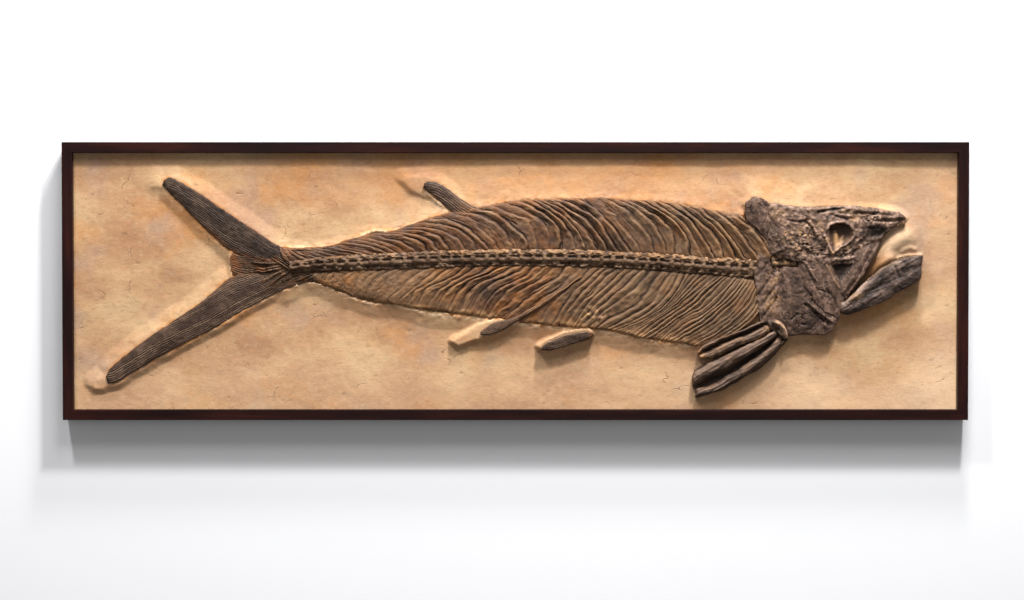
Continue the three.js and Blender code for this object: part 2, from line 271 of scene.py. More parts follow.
def piece(name, parts, material, node):
    """Joins closed reliefs into one mesh object, which stands for a CAD node, hides that node and takes the
    given material."""
    names = sorted({key for part in parts for key in part[3]})
    shift = np.cumsum([0] + [len(part[0]) for part in parts])
    place = np.concatenate([part[0] for part in parts])
    loops = np.concatenate([part[1] + s for part, s in zip(parts, shift)])
    totals = np.concatenate([part[2] for part in parts])
    mesh = bpy.data.meshes.new(name)
    mesh.vertices.add(len(place))
    mesh.vertices.foreach_set("co", place.astype(np.float32).ravel())
    mesh.loops.add(len(loops))
    mesh.loops.foreach_set("vertex_index", loops.astype(np.int32))
    mesh.polygons.add(len(totals))
    starts = np.concatenate([[0], np.cumsum(totals)[:-1]])
    mesh.polygons.foreach_set("loop_start", starts.astype(np.int32))
    mesh.polygons.foreach_set("loop_total", totals.astype(np.int32))
    mesh.polygons.foreach_set("use_smooth", np.ones(len(totals), bool))
    for key in names:
        value = [part[3].get(key, np.zeros(len(part[0]))) for part in parts]
        layer = mesh.attributes.new(key, "FLOAT", "POINT")
        layer.data.foreach_set("value", np.concatenate(value).astype(np.float32))
    mesh.update(calc_edges=True)
    mesh.validate()
    mesh.materials.append(material)
    obj = bpy.data.objects.new(name, mesh)
    bpy.context.scene.collection.objects.link(obj)
    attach(obj, "root")
    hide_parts(node)


# ---- materials ----

CRACK_AND_SHADE_BROWN = "#140c08"  # the deepest brown: a bone's cracks, and painted shade in its hollows
CHALK_DUST_AND_HIGHLIGHT = "#c3976a"  # chalk left on a bone, and the golden tint of the flanks' painted highlights
BEND_SIZE, BEND_REACH = 45, 60  # mm between the bends of a crack in the stone, and how far they may reach


def linear(code):
    """sRGB hex colour as linear RGBA: v / 12.92 up to 0.04045, and ((v + 0.055) / 1.055)^2.4 above it."""
    values = [int(code[i:i + 2], 16) / 255 for i in (1, 3, 5)]
    return [v / 12.92 if v <= 0.04045 else ((v + 0.055) / 1.055) ** 2.4 for v in values] + [1.0]


def add(tree, kind, inputs=None, output=0, stops=(), **settings):
    """Adds one shader node and gives one of its outputs, if it has any. inputs maps its sockets to another
    node's output, a number or a hex colour, and stops are a colour ramp's (position, hex colour) pairs."""
    made = tree.nodes.new(kind)
    for key, value in settings.items():
        setattr(made, key, value)
    for key, value in (inputs or {}).items():
        if isinstance(value, bpy.types.NodeSocket):
            tree.links.new(value, made.inputs[key])
        else:
            made.inputs[key].default_value = linear(value) if isinstance(value, str) else value
    for k, (position, code) in enumerate(stops):
        elements = made.color_ramp.elements
        element = elements[k] if k < len(elements) else elements.new(position)
        element.position = position
        element.color = linear(code)
    return made.outputs[output] if made.outputs else None


def new_material(name):
    """A material with one Principled shader on its output. Gives the material, its node tree and the
    shader."""
    material = bpy.data.materials.new(name)
    material.use_nodes = True
    tree = material.node_tree
    tree.nodes.clear()
    surface = add(tree, "ShaderNodeBsdfPrincipled")
    add(tree, "ShaderNodeOutputMaterial", {"Surface": surface}, is_active_output=True)
    return material, tree, surface.node


def coat(tree, shader, colour, rough, gloss=0.5, height=None, height_mm=1.0, strength=1.0):
    """Gives a shader its colour, roughness and specular level, and a bump height_mm high where height
    says."""
    base = shader.inputs["Base Color"]
    if isinstance(colour, str):
        base.default_value = linear(colour)
    else:
        tree.links.new(colour, base)
    shader.inputs["Roughness"].default_value = rough
    shader.inputs["Specular IOR Level"].default_value = gloss
    if height is not None:
        raised = {"Height": height, "Distance": height_mm * MM, "Strength": strength}
        tree.links.new(add(tree, "ShaderNodeBump", raised), shader.inputs["Normal"])


def spots(tree, size_mm, detail=4.0, stretch=(1, 1, 1), rough=0.55):
    """Cloudy pattern whose main lumps are about size_mm across, on object coordinates in metres."""
    where = add(tree, "ShaderNodeTexCoord", output="Object")
    scaled = add(tree, "ShaderNodeMapping", {"Vector": where, "Scale": stretch})
    inputs = {"Vector": scaled, "Scale": 1000 / size_mm, "Detail": detail, "Roughness": rough}
    return add(tree, "ShaderNodeTexNoise", inputs)


def hairlines(tree, cell_mm, wide_mm):
    """Short crooked cracks: the edges of cells about cell_mm across on bent coordinates, kept only where a
    slow noise is high."""
    where = add(tree, "ShaderNodeTexCoord", output="Object")
    waves = {"Vector": where, "Scale": 1000 / BEND_SIZE, "Detail": 4.0}
    bend = add(tree, "ShaderNodeTexNoise", waves, output="Color")
    shift = add(tree, "ShaderNodeVectorMath", {0: bend, "Scale": BEND_REACH * MM}, operation="SCALE")
    bent = add(tree, "ShaderNodeVectorMath", {0: where, 1: shift}, operation="ADD")
    edge = add(tree, "ShaderNodeTexVoronoi", {"Vector": bent, "Scale": 1000 / cell_mm},
               output="Distance", feature="DISTANCE_TO_EDGE")
    thin = {"Value": edge, "From Min": wide_mm / cell_mm, "From Max": 0.3 * wide_mm / cell_mm}
    here = {"Value": spots(tree, 110, 3), "From Min": 0.59, "From Max": 0.68}
    line, kept = add(tree, "ShaderNodeMapRange", thin), add(tree, "ShaderNodeMapRange", here)
    return add(tree, "ShaderNodeMath", {0: line, 1: kept}, operation="MULTIPLY")


def tones(tree, value, low, high, stops):
    """Turns a value into a colour: low to high is spread over a ramp through (position, hex colour)
    stops."""
    spread = add(tree, "ShaderNodeMapRange", {"Value": value, "From Min": low, "From Max": high})
    return add(tree, "ShaderNodeValToRGB", {"Fac": spread}, stops=stops)


def washes(tree, colour, layers):
    """Lays washes over a colour. Each is (value, low, high, strength, hex colour), and its cover grows from
    0 where the value is low to its strength where it is high. A value may name one stored on the mesh."""
    for value, low, high, strength, code in layers:
        if isinstance(value, str):
            value = add(tree, "ShaderNodeAttribute", output="Fac", attribute_name=value)
        grows = {"Value": value, "From Min": low, "From Max": high, "To Max": strength}
        cover = add(tree, "ShaderNodeMapRange", grows)
        colour = add(tree, "ShaderNodeMix", {0: cover, 6: colour, 7: code}, output=2, data_type="RGBA")
    return colour


def fossil_bone(name, dark, mid, light, rubbed_highlight, stain, grain=14.0, rough=0.62, relief=1.8, lumps=90):
    """Mineralised bone, cleaned with a needle and sealed: brown to near black, iron-stained in clouds, with
    dark cracks, painted shade in its hollows, paler crests that are partly worn and partly painted
    highlight, and a slight sheen from the sealer."""
    material, tree, shader = new_material(name)
    cloud = spots(tree, lumps, 5, rough=0.6)
    fine = spots(tree, grain, 6, rough=0.7)
    stained = add(tree, "ShaderNodeAttribute", output="Fac", attribute_name="stain")
    clouds = {"Value": spots(tree, 60, 5), "From Min": 0.3, "From Max": 0.62}
    clouded = add(tree, "ShaderNodeMapRange", clouds)
    rusty = add(tree, "ShaderNodeMath", {0: stained, 1: clouded}, operation="MULTIPLY")
    body = tones(tree, cloud, 0.32, 0.68, [(0, dark), (0.5, mid), (1, light)])
    body = washes(tree, body, [
        (fine, 0.42, 0.62, 0.55, dark),  # dark grain
        (rusty, 0, 1, 1, stain),  # iron stain, in clouds
        # paler crests: worn by rubbing, and painted highlight on convex parts and ridge tops
        ("crest", 0, 1, 1, rubbed_highlight),
        # chalk dust, and on the flanks a golden painted highlight
        ("chalk", 0, 1, 1, CHALK_DUST_AND_HIGHLIGHT),
        # dark cracks, and painted shade in hollows, grooves and recesses
        ("crevice", 0, 1, 1, CRACK_AND_SHADE_BROWN),
    ])
    coat(tree, shader, body, rough, 0.2, fine, relief, 0.9)
    return material


def chalk_matrix():
    """Soft chalk scraped flat round the fish and tinted with warm earth: matt, cloudy tan to cream, with
    orange patches, fine scraping and small cracks and nicks, and light and shade painted in where its stored
    values say."""
    material, tree, shader = new_material("matrix")
    fine = spots(tree, 13, 6, (0.7, 1, 1.3), 0.75)
    crack = hairlines(tree, 170, 2.6)
    base = tones(tree, spots(tree, 420, 4, (1, 1, 1.6), 0.55), 0.34, 0.66,
                 [(0, "#ab7d58"), (0.5, "#ba9068"), (1, "#c8a47a")])
    base = washes(tree, base, [
        (spots(tree, 300, 5, (1, 1, 1.4), 0.6), 0.52, 0.7, 0.75, "#c08348"),  # warm earth
        (spots(tree, 240, 4, rough=0.5), 0.54, 0.7, 0.6, "#a68a78"),  # greyer stone
        (spots(tree, 34, 5), 0.5, 0.75, 0.4, "#cba981"),  # light mottling
        (spots(tree, 26, 6, (0.6, 1, 1.5), 0.72), 0.52, 0.72, 0.5, "#96694a"),  # brown streaky mottling
        ("ochre", 0, 1, 1, "#b9742f"),  # iron stain, and painted shade in the mouth, along the top and on a bank
        ("pale", 0, 1, 1, "#e2bd97"),  # freshly scraped chalk, and painted light along the bottom and the head's end
        # painted shade in nicks and in the mouth's corner, and a painted shadow along the top
        ("crevice", 0, 1, 1, "#3c2614"),
        (fine, 0.52, 0.72, 0.35, "#8f6444"),  # the scraping's hollows
        (fine, 0.46, 0.3, 0.25, "#d8b78f"),  # and its crests
        (crack, 0, 1, 0.36, "#5c3d27"),  # hairline cracks
    ])
    relief = add(tree, "ShaderNodeMath", {0: fine, 1: crack}, operation="SUBTRACT")
    coat(tree, shader, base, 0.82, height=relief, height_mm=2.0, strength=0.7)
    return material


def mahogany(name, grain_axis):
    """Mahogany moulding, planed, stained dark red-brown and wiped with satin lacquer: fine dark pore lines
    along the grain and a soft sheen. The pores are drawn 3 mm apart, coarser than real ones, so they
    show."""
    material, tree, shader = new_material(name)
    # The figure and the pores are drawn out along the grain by one over these shares.
    slow, quick = [(k, 1, 1) if grain_axis == "x" else (1, 1, k) for k in (0.12, 0.03)]
    pores = spots(tree, 3.2, 3, quick, 0.6)
    base = tones(tree, spots(tree, 60, 3, slow), 0.35, 0.65,
                 [(0, "#180806"), (0.55, "#230c09"), (1, "#30130d")])
    base = washes(tree, base, [(pores, 0.5, 0.68, 0.6, "#120605")])
    coat(tree, shader, base, 0.5, 0.15, pores, 0.25, 0.5)
    return material


def hardboard():
    """Pressed hardboard, raw: even warm brown with a faint fibrous mottle."""
    material, tree, shader = new_material("board")
    fibres = spots(tree, 7, 6, rough=0.7)
    coat(tree, shader, tones(tree, fibres, 0.3, 0.7, [(0, "#7d5a3a"), (1, "#a37c53")]), 0.7)
    return material


MATRIX = chalk_matrix()
RAY_BONE = fossil_bone("ray_bone", "#33241b", "#503d31", "#6b5446", "#97795f", "#744c2a", grain=12)
FIN_BONE = fossil_bone("fin_bone", "#33251d", "#513f34", "#6d5748", "#957a68", "#735030", grain=12)
RIB_BONE = fossil_bone("rib_bone", "#3d2d26", "#644a39", "#7e6048", "#9a7b56", "#865020")
TAIL_BONE = fossil_bone("tail_bone", "#221812", "#3f3026", "#594536", "#846b57", "#74401a", grain=8)
ROOT_BONE = fossil_bone("root_bone", "#2a1d14", "#473424", "#5d4430", "#866a4e", "#854a1d", grain=9)
SPOOL_BONE = fossil_bone("spool_bone", "#402d20", "#674d39", "#80654c", "#a3856a", "#825a32")
HEAD_BONE = fossil_bone("head_bone", "#2e211b", "#5c463a", "#84695a", "#ad8c76", "#7b5738",
                        grain=15, rough=0.58, relief=2.6, lumps=46)
JAW_BONE = fossil_bone("jaw_bone", "#2d221e", "#56463e", "#7e685b", "#ae9382", "#6b4d36",
                       grain=12, rough=0.55, relief=2.2, lumps=60)

# ---- the fish in panel millimetres ----

# The backbone's line, from the tail to the skull.
SPINE_LINE = [
    (-1118, 66), (-1000, 80), (-800, 90), (-600, 97), (-400, 105), (-200, 110), (0, 113), (200, 113),
    (400, 109), (600, 99), (800, 86), (950, 75), (1100, 63), (1200, 64), (1285, 88), (1392, 92),
]
# Neural spines, each from the backbone out to the back's edge, from the tail to the nape.
UPPER_RIBS = [
    [(-1120, 92), (-1140, 102), (-1155, 120), (-1165, 145), (-1175, 172)],
    [(-900, 118), (-960, 132), (-1010, 142), (-1050, 152), (-1085, 168)],
    [(-700, 125), (-760, 150), (-820, 165), (-880, 175), (-930, 178)],
    [(-519, 135), (-580, 178), (-650, 200), (-720, 214), (-790, 218)],
    [(-270, 142), (-310, 205), (-380, 244), (-470, 262), (-590, 258)],
    [(-89, 145), (-126, 205), (-188, 267), (-290, 312), (-400, 325)],
    [(35, 147), (17, 218), (-52, 286), (-126, 330), (-215, 363)],
    [(141, 147), (135, 242), (85, 305), (-2, 354), (-95, 381)],
    [(253, 146), (247, 225), (197, 305), (135, 361), (50, 405)],
    [(446, 141), (400, 222), (321, 305), (234, 367), (150, 407)],
    [(595, 132), (533, 230), (458, 317), (384, 379), (321, 412)],
    [(700, 126), (665, 240), (590, 318), (520, 370), (430, 416)],
    [(819, 118), (800, 240), (730, 310), (650, 365), (560, 405)],
    [(950, 107), (905, 200), (850, 290), (780, 345), (700, 399)],
    [(1054, 98), (1020, 190), (940, 285), (870, 345), (800, 387)],
    [(1157, 94), (1100, 180), (1030, 260), (960, 320), (900, 370)],
    [(1230, 96), (1180, 190), (1110, 262), (1050, 310), (1000, 352)],
    [(1306, 128), (1240, 205), (1180, 265), (1145, 305), (1117, 332)],
]
# Ribs below the backbone, each out to the belly's edge, from the tail to the shoulder.
LOWER_RIBS = [
    [(-1000, 46), (-1002, 36), (-1004, 26), (-1006, 15), (-1008, 2)],
    [(-850, 54), (-880, 35), (-900, 10), (-915, -15), (-925, -36)],
    [(-680, 61), (-730, 38), (-770, 0), (-790, -40), (-800, -78)],
    [(-425, 70), (-512, 10), (-570, -40), (-610, -80), (-640, -109)],
    [(-251, 77), (-325, 19), (-412, -25), (-462, -68), (-487, -136)],
    [(10, 80), (-64, 43), (-151, 0), (-226, -56), (-290, -160)],
    [(122, 80), (48, 19), (-64, -31), (-126, -81), (-170, -178)],
    [(259, 78), (197, 6), (97, -56), (10, -118), (-60, -194)],
    [(446, 73), (371, 6), (309, -56), (247, -131), (190, -222)],
    [(632, 64), (545, -19), (471, -81), (396, -143), (321, -229)],
    [(819, 50), (756, -60), (682, -143), (570, -205), (470, -244)],
    [(950, 38), (850, -58), (770, -128), (660, -200), (560, -262)],
    [(1030, 30), (930, -55), (850, -125), (740, -200), (630, -284)],
    [(1091, 24), (1014, -62), (931, -136), (820, -205), (709, -292)],
    [(1150, 14), (1085, -80), (1000, -160), (895, -235), (780, -301)],
    [(1190, 0), (1130, -105), (1050, -185), (945, -258), (845, -312)],
    [(1216, -30), (1170, -130), (1100, -205), (1010, -268), (905, -322)],
    [(1226, -110), (1190, -175), (1130, -225), (1060, -275), (965, -316)],
]
# Which rib, counted from the tail, each of those keys is.
UPPER_COUNT = [0, 4.2, 8, 11.4, 15.8, 18.8, 21, 22.8, 24.8, 28, 30.6, 32.4, 34.4, 36.6, 38.4, 40.2, 41.4,
               42.6]
LOWER_COUNT = [0, 3, 6, 11, 14, 18, 20, 22.5, 26, 30.5, 35, 39, 42, 45, 48, 50.5, 53, 55]

# Bones as stations: a point on the first edge and the point across from it on the second.
SHOULDER_GIRDLE = [
    (1330, -198, 1214, -206), (1336, -120, 1200, -110), (1340, -50, 1192, -40), (1346, 20, 1182, 24),
    (1280, 62, 1190, 76), (1262, 100, 1198, 108), (1262, 136, 1206, 140),
]
NAPE_PLATE = [
    (1138, 330, 1137, 352), (1152, 300, 1142, 388), (1192, 262, 1164, 404), (1226, 222, 1184, 421),
    (1270, 178, 1226, 409), (1300, 156, 1262, 386), (1330, 176, 1306, 372), (1340, 200, 1340, 300),
]
SKULL = [
    (1256, 126, 1244, 176), (1330, 112, 1250, 240), (1390, 100, 1256, 320), (1440, 90, 1268, 388),
    (1480, 80, 1392, 371), (1540, 76, 1500, 367), (1600, 84, 1590, 374), (1662, 100, 1660, 373),
    (1712, 140, 1720, 369), (1760, 176, 1780, 364), (1808, 202, 1822, 358), (1846, 240, 1862, 353),
    (1872, 268, 1896, 345), (1906, 284, 1920, 332), (1930, 298, 1938, 312),
]
GILL_COVER = [
    (1296, -226, 1306, 66), (1352, -268, 1352, 72), (1420, -264, 1410, 60), (1490, -266, 1465, -30),
    (1549, -260, 1510, -96), (1585, -216, 1562, -140), (1610, -180, 1602, -156),
]
CHEEK_PLATE = [
    (1398, 30, 1400, 104), (1440, -36, 1450, 104), (1484, -104, 1520, 100), (1536, -152, 1590, 104),
    (1576, -176, 1652, 104), (1600, -182, 1662, 60), (1612, -152, 1634, 20), (1612, -112, 1606, -24),
]
UPPER_JAW = [
    (1640, -92, 1596, -74), (1664, -52, 1600, -24), (1692, -18, 1616, 22), (1720, 22, 1636, 66),
    (1748, 68, 1658, 106), (1768, 112, 1680, 150), (1788, 150, 1696, 192), (1802, 182, 1712, 226),
    (1812, 212, 1736, 244),
]
LOWER_JAW = [
    (1604, -148, 1604, -106), (1636, -164, 1640, -94), (1700, -150, 1688, -44), (1760, -130, 1740, 6),
    (1820, -102, 1800, 52), (1880, -66, 1856, 90), (1936, -36, 1912, 116), (1985, -6, 1970, 127),
    (2010, 18, 2018, 129),
]
PECTORAL_RAYS = [
    [(912, -388, 904, -354), (1000, -380, 940, -312), (1100, -330, 1060, -262), (1184, -298, 1150, -226),
     (1274, -246, 1236, -192)],
    [(884, -534, 880, -474), (955, -524, 908, -430), (1030, -486, 1000, -388), (1110, -440, 1085, -340),
     (1190, -384, 1164, -306), (1262, -328, 1236, -272), (1314, -274, 1284, -240)],
    [(897, -582, 897, -536), (960, -562, 950, -520), (1034, -540, 1012, -490), (1100, -502, 1080, -450),
     (1170, -452, 1150, -402), (1250, -392, 1226, -348), (1334, -304, 1300, -276)],
    [(1148, -474, 1150, -456), (1224, -430, 1212, -404), (1294, -362, 1276, -344), (1354, -292, 1330, -286)],
]
# Each ray's section: shares of the way across from its lower edge, and the heights there above the slab's
# face.
PECTORAL_SECTIONS = [
    ([0, 0.1, 0.3, 0.48, 0.58, 0.66, 0.74, 0.84, 0.93, 1], [34, 54, 62, 60, 42, 28, 28, 54, 60, 36]),
    ([0, 0.1, 0.22, 0.34, 0.46, 0.6, 0.8, 0.93, 1], [26, 24, 25, 38, 57, 65, 67, 60, 34]),
    ([0, 0.12, 0.35, 0.6, 0.85, 1], [30, 50, 60, 62, 54, 26]),
    ([0, 0.2, 0.5, 0.8, 1], [24, 36, 40, 36, 28]),
]
PECTORAL_BASE = [
    (1262, -236, 1248, -198), (1300, -256, 1276, -190), (1330, -284, 1308, -192), (1356, -282, 1336, -214),
]
PELVIC_FIN = [
    (120, -338, 118, -326), (160, -346, 168, -290), (230, -330, 235, -260), (300, -306, 300, -247),
    (352, -292, 350, -240), (388, -270, 384, -250),
]
ANAL_FIN = [
    (-166, -268, -176, -252), (-120, -266, -142, -226), (-60, -242, -90, -200), (-4, -206, -10, -180),
    (60, -168, 52, -148), (150, -112, 143, -98), (240, -48, 234, -36), (330, 20, 326, 28),
]
DORSAL_FIN = [
    (-458, 468, -452, 486), (-438, 448, -425, 496), (-400, 422, -375, 484), (-350, 376, -330, 456),
    (-300, 330, -270, 410), (-240, 318, -205, 372), (-180, 312, -150, 348),
]
TAIL_UPPER_LOBE = [
    (-1752, 478, -1746, 502), (-1728, 452, -1708, 514), (-1660, 384, -1640, 478), (-1580, 300, -1550, 424),
    (-1500, 224, -1450, 354), (-1430, 160, -1350, 288), (-1350, 124, -1270, 236), (-1260, 104, -1196, 186),
    (-1180, 92, -1130, 152), (-1090, 76, -1060, 116),
]
TAIL_LOWER_LOBE = [
    (-2026, -510, -2038, -478), (-1986, -503, -2015, -432), (-1900, -453, -1930, -360),
    (-1800, -390, -1830, -284), (-1690, -332, -1700, -196), (-1580, -276, -1590, -124),
    (-1480, -224, -1500, -50), (-1380, -162, -1416, 18), (-1280, -108, -1310, 40), (-1180, -56, -1200, 50),
    (-1090, -20, -1100, 56), (-1000, 0, -1010, 60),
]
TAIL_FAN = [
    (-1414, 34, -1420, 128), (-1404, 16, -1410, 146), (-1350, 2, -1366, 154), (-1290, 6, -1290, 146),
    (-1220, 22, -1216, 124), (-1120, 46, -1110, 98),
]
TAIL_ROOT = [
    (-1250, 84, -1240, 118), (-1190, 40, -1190, 140), (-1130, -4, -1140, 150), (-1050, -10, -1060, 150),
    (-960, -10, -970, 146), (-860, 10, -870, 136), (-760, 40, -780, 128),
]
# Bony bars that cross the root of the tail: last arches above the column, sweeping up into the upper lobe,
# and below it, lying over each other down into the lower lobe.
UPPER_BARS = [
    [(-1210, 118), (-1140, 78), (-1072, 36)], [(-1188, 126), (-1115, 86), (-1043, 46)],
    [(-1150, 128), (-1075, 84), (-1014, 60)], [(-1106, 124), (-1038, 78), (-968, 58)],
    [(-1164, 154), (-1101, 124), (-1047, 100)], [(-1080, 130), (-1010, 108), (-960, 98)],
    [(-1046, 126), (-985, 122), (-918, 110)], [(-972, 150), (-902, 134), (-852, 112)],
    [(-872, 154), (-832, 134), (-780, 112)], [(-790, 152), (-742, 138), (-690, 122)],
    [(-1104, 150), (-1020, 148), (-950, 138)], [(-700, 158), (-660, 144), (-612, 126)],
]
LOWER_BARS = [
    [(-930, 54), (-985, 26), (-1052, -2)], [(-980, 54), (-1035, 26), (-1100, 4)],
    [(-864, 54), (-915, 32), (-982, 8)], [(-803, 58), (-852, 28), (-912, 14)],
    [(-750, 60), (-794, 32), (-848, 20)], [(-702, 60), (-745, 38), (-794, 26)],
    [(-652, 64), (-695, 44), (-742, 30)], [(-602, 66), (-648, 48), (-694, 36)],
    [(-1066, 40), (-1126, 12), (-1190, -16)], [(-1122, 46), (-1176, 10), (-1240, -30)],
    [(-1142, 58), (-1200, 26), (-1270, -10)], [(-1155, 70), (-1217, 56), (-1300, 52)],
    [(-1168, 84), (-1230, 80), (-1310, 88)],
]
# The stone's mounds under the fish where they reach further than the bone does.
UPPER_TAIL_MOUND = [(-1846, 512, -1842, 518), (-1805, 488, -1800, 514)] + TAIL_UPPER_LOBE
LOWER_TAIL_MOUND = [(-2092, -524, -2090, -508), (-2062, -528, -2066, -488)] + TAIL_LOWER_LOBE
DORSAL_MOUND = [
    (-556, 500, -548, 516), (-500, 446, -470, 512), (-400, 404, -372, 488), (-350, 366, -320, 450),
    (-300, 330, -262, 408), (-240, 318, -205, 372),
]
ANAL_MOUND = [
    (-284, -326, -318, -302), (-230, -302, -240, -258), (-170, -282, -180, -214), (-60, -250, -90, -186),
    (20, -205, 0, -160),
]
BODY_OUTLINE = [
    (-1150, -40, -1150, 178), (-1010, 4, -1010, 164), (-850, -56, -850, 193), (-714, -102, -714, 251),
    (-590, -113, -590, 258), (-400, -158, -400, 322), (-200, -178, -215, 363), (0, -203, 0, 402),
    (200, -224, 200, 405), (400, -238, 400, 414), (560, -270, 560, 406), (720, -294, 720, 397),
    (860, -314, 860, 378), (960, -318, 1010, 347), (1110, -245, 1150, 330), (1250, -200, 1250, 330),
]
HEAD_OUTLINE = [
    (1230, -200, 1140, 372), (1300, -240, 1190, 420), (1352, -268, 1300, 374), (1480, -268, 1480, 370),
    (1585, -216, 1620, 377), (1650, -80, 1720, 367), (1720, 30, 1822, 358), (1812, 200, 1892, 345),
    (1906, 286, 1938, 312),
]
PECTORAL_OUTLINE = [
    (895, -577, 906, -350), (1000, -548, 980, -310), (1170, -450, 1130, -230), (1300, -340, 1240, -200),
    (1352, -280, 1330, -196),
]


# ---- the slab ----

SLAB_POINTS = (572, 171)  # along and across
# Plateaus of stone under the fish: outline, height, level margin and slope width of the sides that face up,
# and the same two of the sides that face down.
PLATEAUS = [
    (BODY_OUTLINE, 20, 2, 32, 5, 74),
    (HEAD_OUTLINE, 24, -2, 30, -2, 20),
    (LOWER_JAW, 34, -8, 20, -8, 10),
    (PECTORAL_OUTLINE, 14, -12, 24, -12, 12),
    (PELVIC_FIN, 30, 2, 22, -2, 12),
    (DORSAL_MOUND, 14, 2, 56, 2, 26),
    (UPPER_TAIL_MOUND, 13, 3, 66, 13, 46),
    (LOWER_TAIL_MOUND, 17, 3, 66, 9, 28),
    (TAIL_FAN, 17, 2, 30, 2, 20),
    (ANAL_MOUND, 28, 0, 26, 0, 14),
]
FAR_SHARE = 0.88  # of the body's and head's height, the part that falls away slowly on their upper sides
FAR_WIDTH = 260.0  # and how far out it reaches the face
SUNK = 9.0  # how far the stone lies lower under a bone
BONES = [BODY_OUTLINE, HEAD_OUTLINE, LOWER_JAW, PELVIC_FIN, ANAL_FIN, DORSAL_FIN, TAIL_UPPER_LOBE,
         TAIL_LOWER_LOBE, TAIL_FAN]
# Swells of stone left in front of the mouth and by the dorsal fin, as strokes.
SWELLS = [
    ([(1810, 125), (1865, 185), (1930, 225)], 58, 33), ([(1925, 148), (1960, 168), (1988, 158)], 10, 6),
    ([(1735, 30), (1800, 70), (1860, 110)], 24, 16), ([(-440, 442), (-398, 402), (-356, 372)], 15, 21),
]
MOUTH_CORNER = [(1640, -70), (1700, -4), (1742, 56)]  # the gap between the jaws, painted dark as shade


def plateau(x, bent, stations, top, up_level, up_width, down_level, down_width):
    """One plateau, on bent coordinates. Beyond a level margin its sides fall straight, by 1 - distance /
    width, and on the body's and head's upper sides a share of the height falls slowly instead, by (1 -
    distance / far width)^2. The body lies lower to its tail, the head to its snout and the upper lobe's
    mound to its tip."""
    ring = outline(stations)
    away, off_z = line_distance(bent[..., 0], bent[..., 1], ring)
    away = np.where(inside(bent[..., 0], bent[..., 1], ring), 0, away)
    upward = off_z / np.maximum(away, TINY)
    facing = smooth(-0.6, 0.6, upward)
    level = down_level + (up_level - down_level) * facing
    width = down_width + (up_width - down_width) * facing
    near = 1 - np.clip((away - level) / width, 0, 1)
    far = (1 - np.clip((away - level) / FAR_WIDTH, 0, 1)) ** 2
    slow = stations is BODY_OUTLINE or stations is HEAD_OUTLINE
    share = FAR_SHARE * slow * smooth(-0.3, 1.0, upward)
    share = share * (0.55 + 0.45 * smooth(-950, -500, x)) * smooth(1930, 1600, x)
    if stations is BODY_OUTLINE:
        top = top - 12 * smooth(-300, -850, x) * facing
    if stations is HEAD_OUTLINE:
        top = top - 11 * smooth(1500, 1800, x) * facing
    if stations is UPPER_TAIL_MOUND:
        top = top - 9 * smooth(-1770, -1850, x)
    return top * ((1 - share) * near + share * far)


def slab_height(x, z):
    """Height of the stone's surface: a nearly flat face, plus the highest of the plateaus and swells, and
    crumbs along the body's edge. Under the bones it is sunk. Gives the height and the nicks."""
    bent = np.stack([x, z], -1) + 5 * wander(x, z, 60, (3, 4), 3)
    raised = strongest(np.zeros(np.shape(x)), *(plateau(x, bent, *row) for row in PLATEAUS))
    crumbs = 5 * bell(line_distance(x, z, outline(BODY_OUTLINE))[0], 6, 9) * noise(x, z, 14, 17, 3)
    raised = np.maximum(raised, strokes(x, z, SWELLS)) + crumbs
    sunk = np.zeros(np.shape(x))
    for ring in map(outline, BONES):
        deep = np.where(inside(x, z, ring), line_distance(x, z, ring)[0], 0)
        sunk = np.maximum(sunk, SUNK * smooth(5, 16, deep))
    waves = 3.2 * noise(x, z, 380, 7, 3) + 1.2 * noise(x, z, 70, 8, 3)
    rough = 0.9 * noise(x, z, 22, 9, 3) * (0.4 + smooth(2, 14, raised))
    nicks = -1.2 * smooth(1.1, 1.25, noise(x, z, 16, 12, 2, 2.0))
    return FACE + raised - sunk + waves + rough + nicks, nicks


def ochre_and_shade_tint(x, z, body):
    """Iron stain in the stone, 0 to 1, along the edges of the body and the tail's lobes; with painted shade
    in the mouth under the upper jaw, a painted shadow of the top rail over the top of the panel, and painted
    shade on the bank above the tail's root. body is the distance to the body's outline."""
    edge = 0.75 * bell(body, 0, 12) * smooth(-0.3, 0.6, noise(x, z, 50, 15, 4))
    # painted shade under the upper jaw, in an iron colour
    mouth = 0.55 * bell(np.hypot(x - 1790, z - 50), 0, 62)
    rings = outline(TAIL_UPPER_LOBE), outline(TAIL_LOWER_LOBE)
    lobes = np.minimum(*(line_distance(x, z, ring)[0] for ring in rings))
    rust = 0.65 * bell(lobes, 3, 9) * smooth(-0.4, 0.3, noise(x, z, 40, 18, 4)) * smooth(-1250, -1400, x)
    # a painted shadow of the top rail over the top of the panel
    top = 0.27 * smooth(320, 520, z) * smooth(-1500, -1000, x) * smooth(1300, 700, x)
    # the spot above the tail's root is painted shade on its bank
    return strongest(edge, mouth, rust, top, 0.2 * spot(x, z, -1430, 400, 260, 90, -0.72))


def pale_tint(x, z, body, off_z):
    """Clean chalk, 0 to 1, before the snout, on the swell by the dorsal fin and on the lip below the body;
    and painted light along the bottom and the head's end, with a painted shadow left out below the head.
    off_z is how far above the body's outline a point lies."""
    snout = 0.95 * bell(np.hypot(x - 1900, (z - 190) * 1.2), 0, 95, 4)
    # painted light, brighter towards the bottom and the head's end
    painted_light = smooth(-260, -520, z) * (0.22 + 0.4 * smooth(900, 1700, x)) + 0.25 * smooth(1950, 2120, x)
    # the spot left out below the head is its painted shadow
    painted_light = painted_light * (1 - 0.9 * spot(x, z, 1740, -380, 240, 170))
    chunk = spot(x, z, -398, 404, 66, 24, -0.78) * smooth(-0.5, 0.1, noise(x, z, 22, 19, 3))
    lip = bell(body, 8, 7) * smooth(0.2, -0.4, off_z / np.maximum(body, TINY))
    lip = 0.95 * lip * smooth(-0.5, 0.2, noise(x, z, 30, 16, 4))
    return strongest(snout, painted_light, 0.9 * chunk, lip)


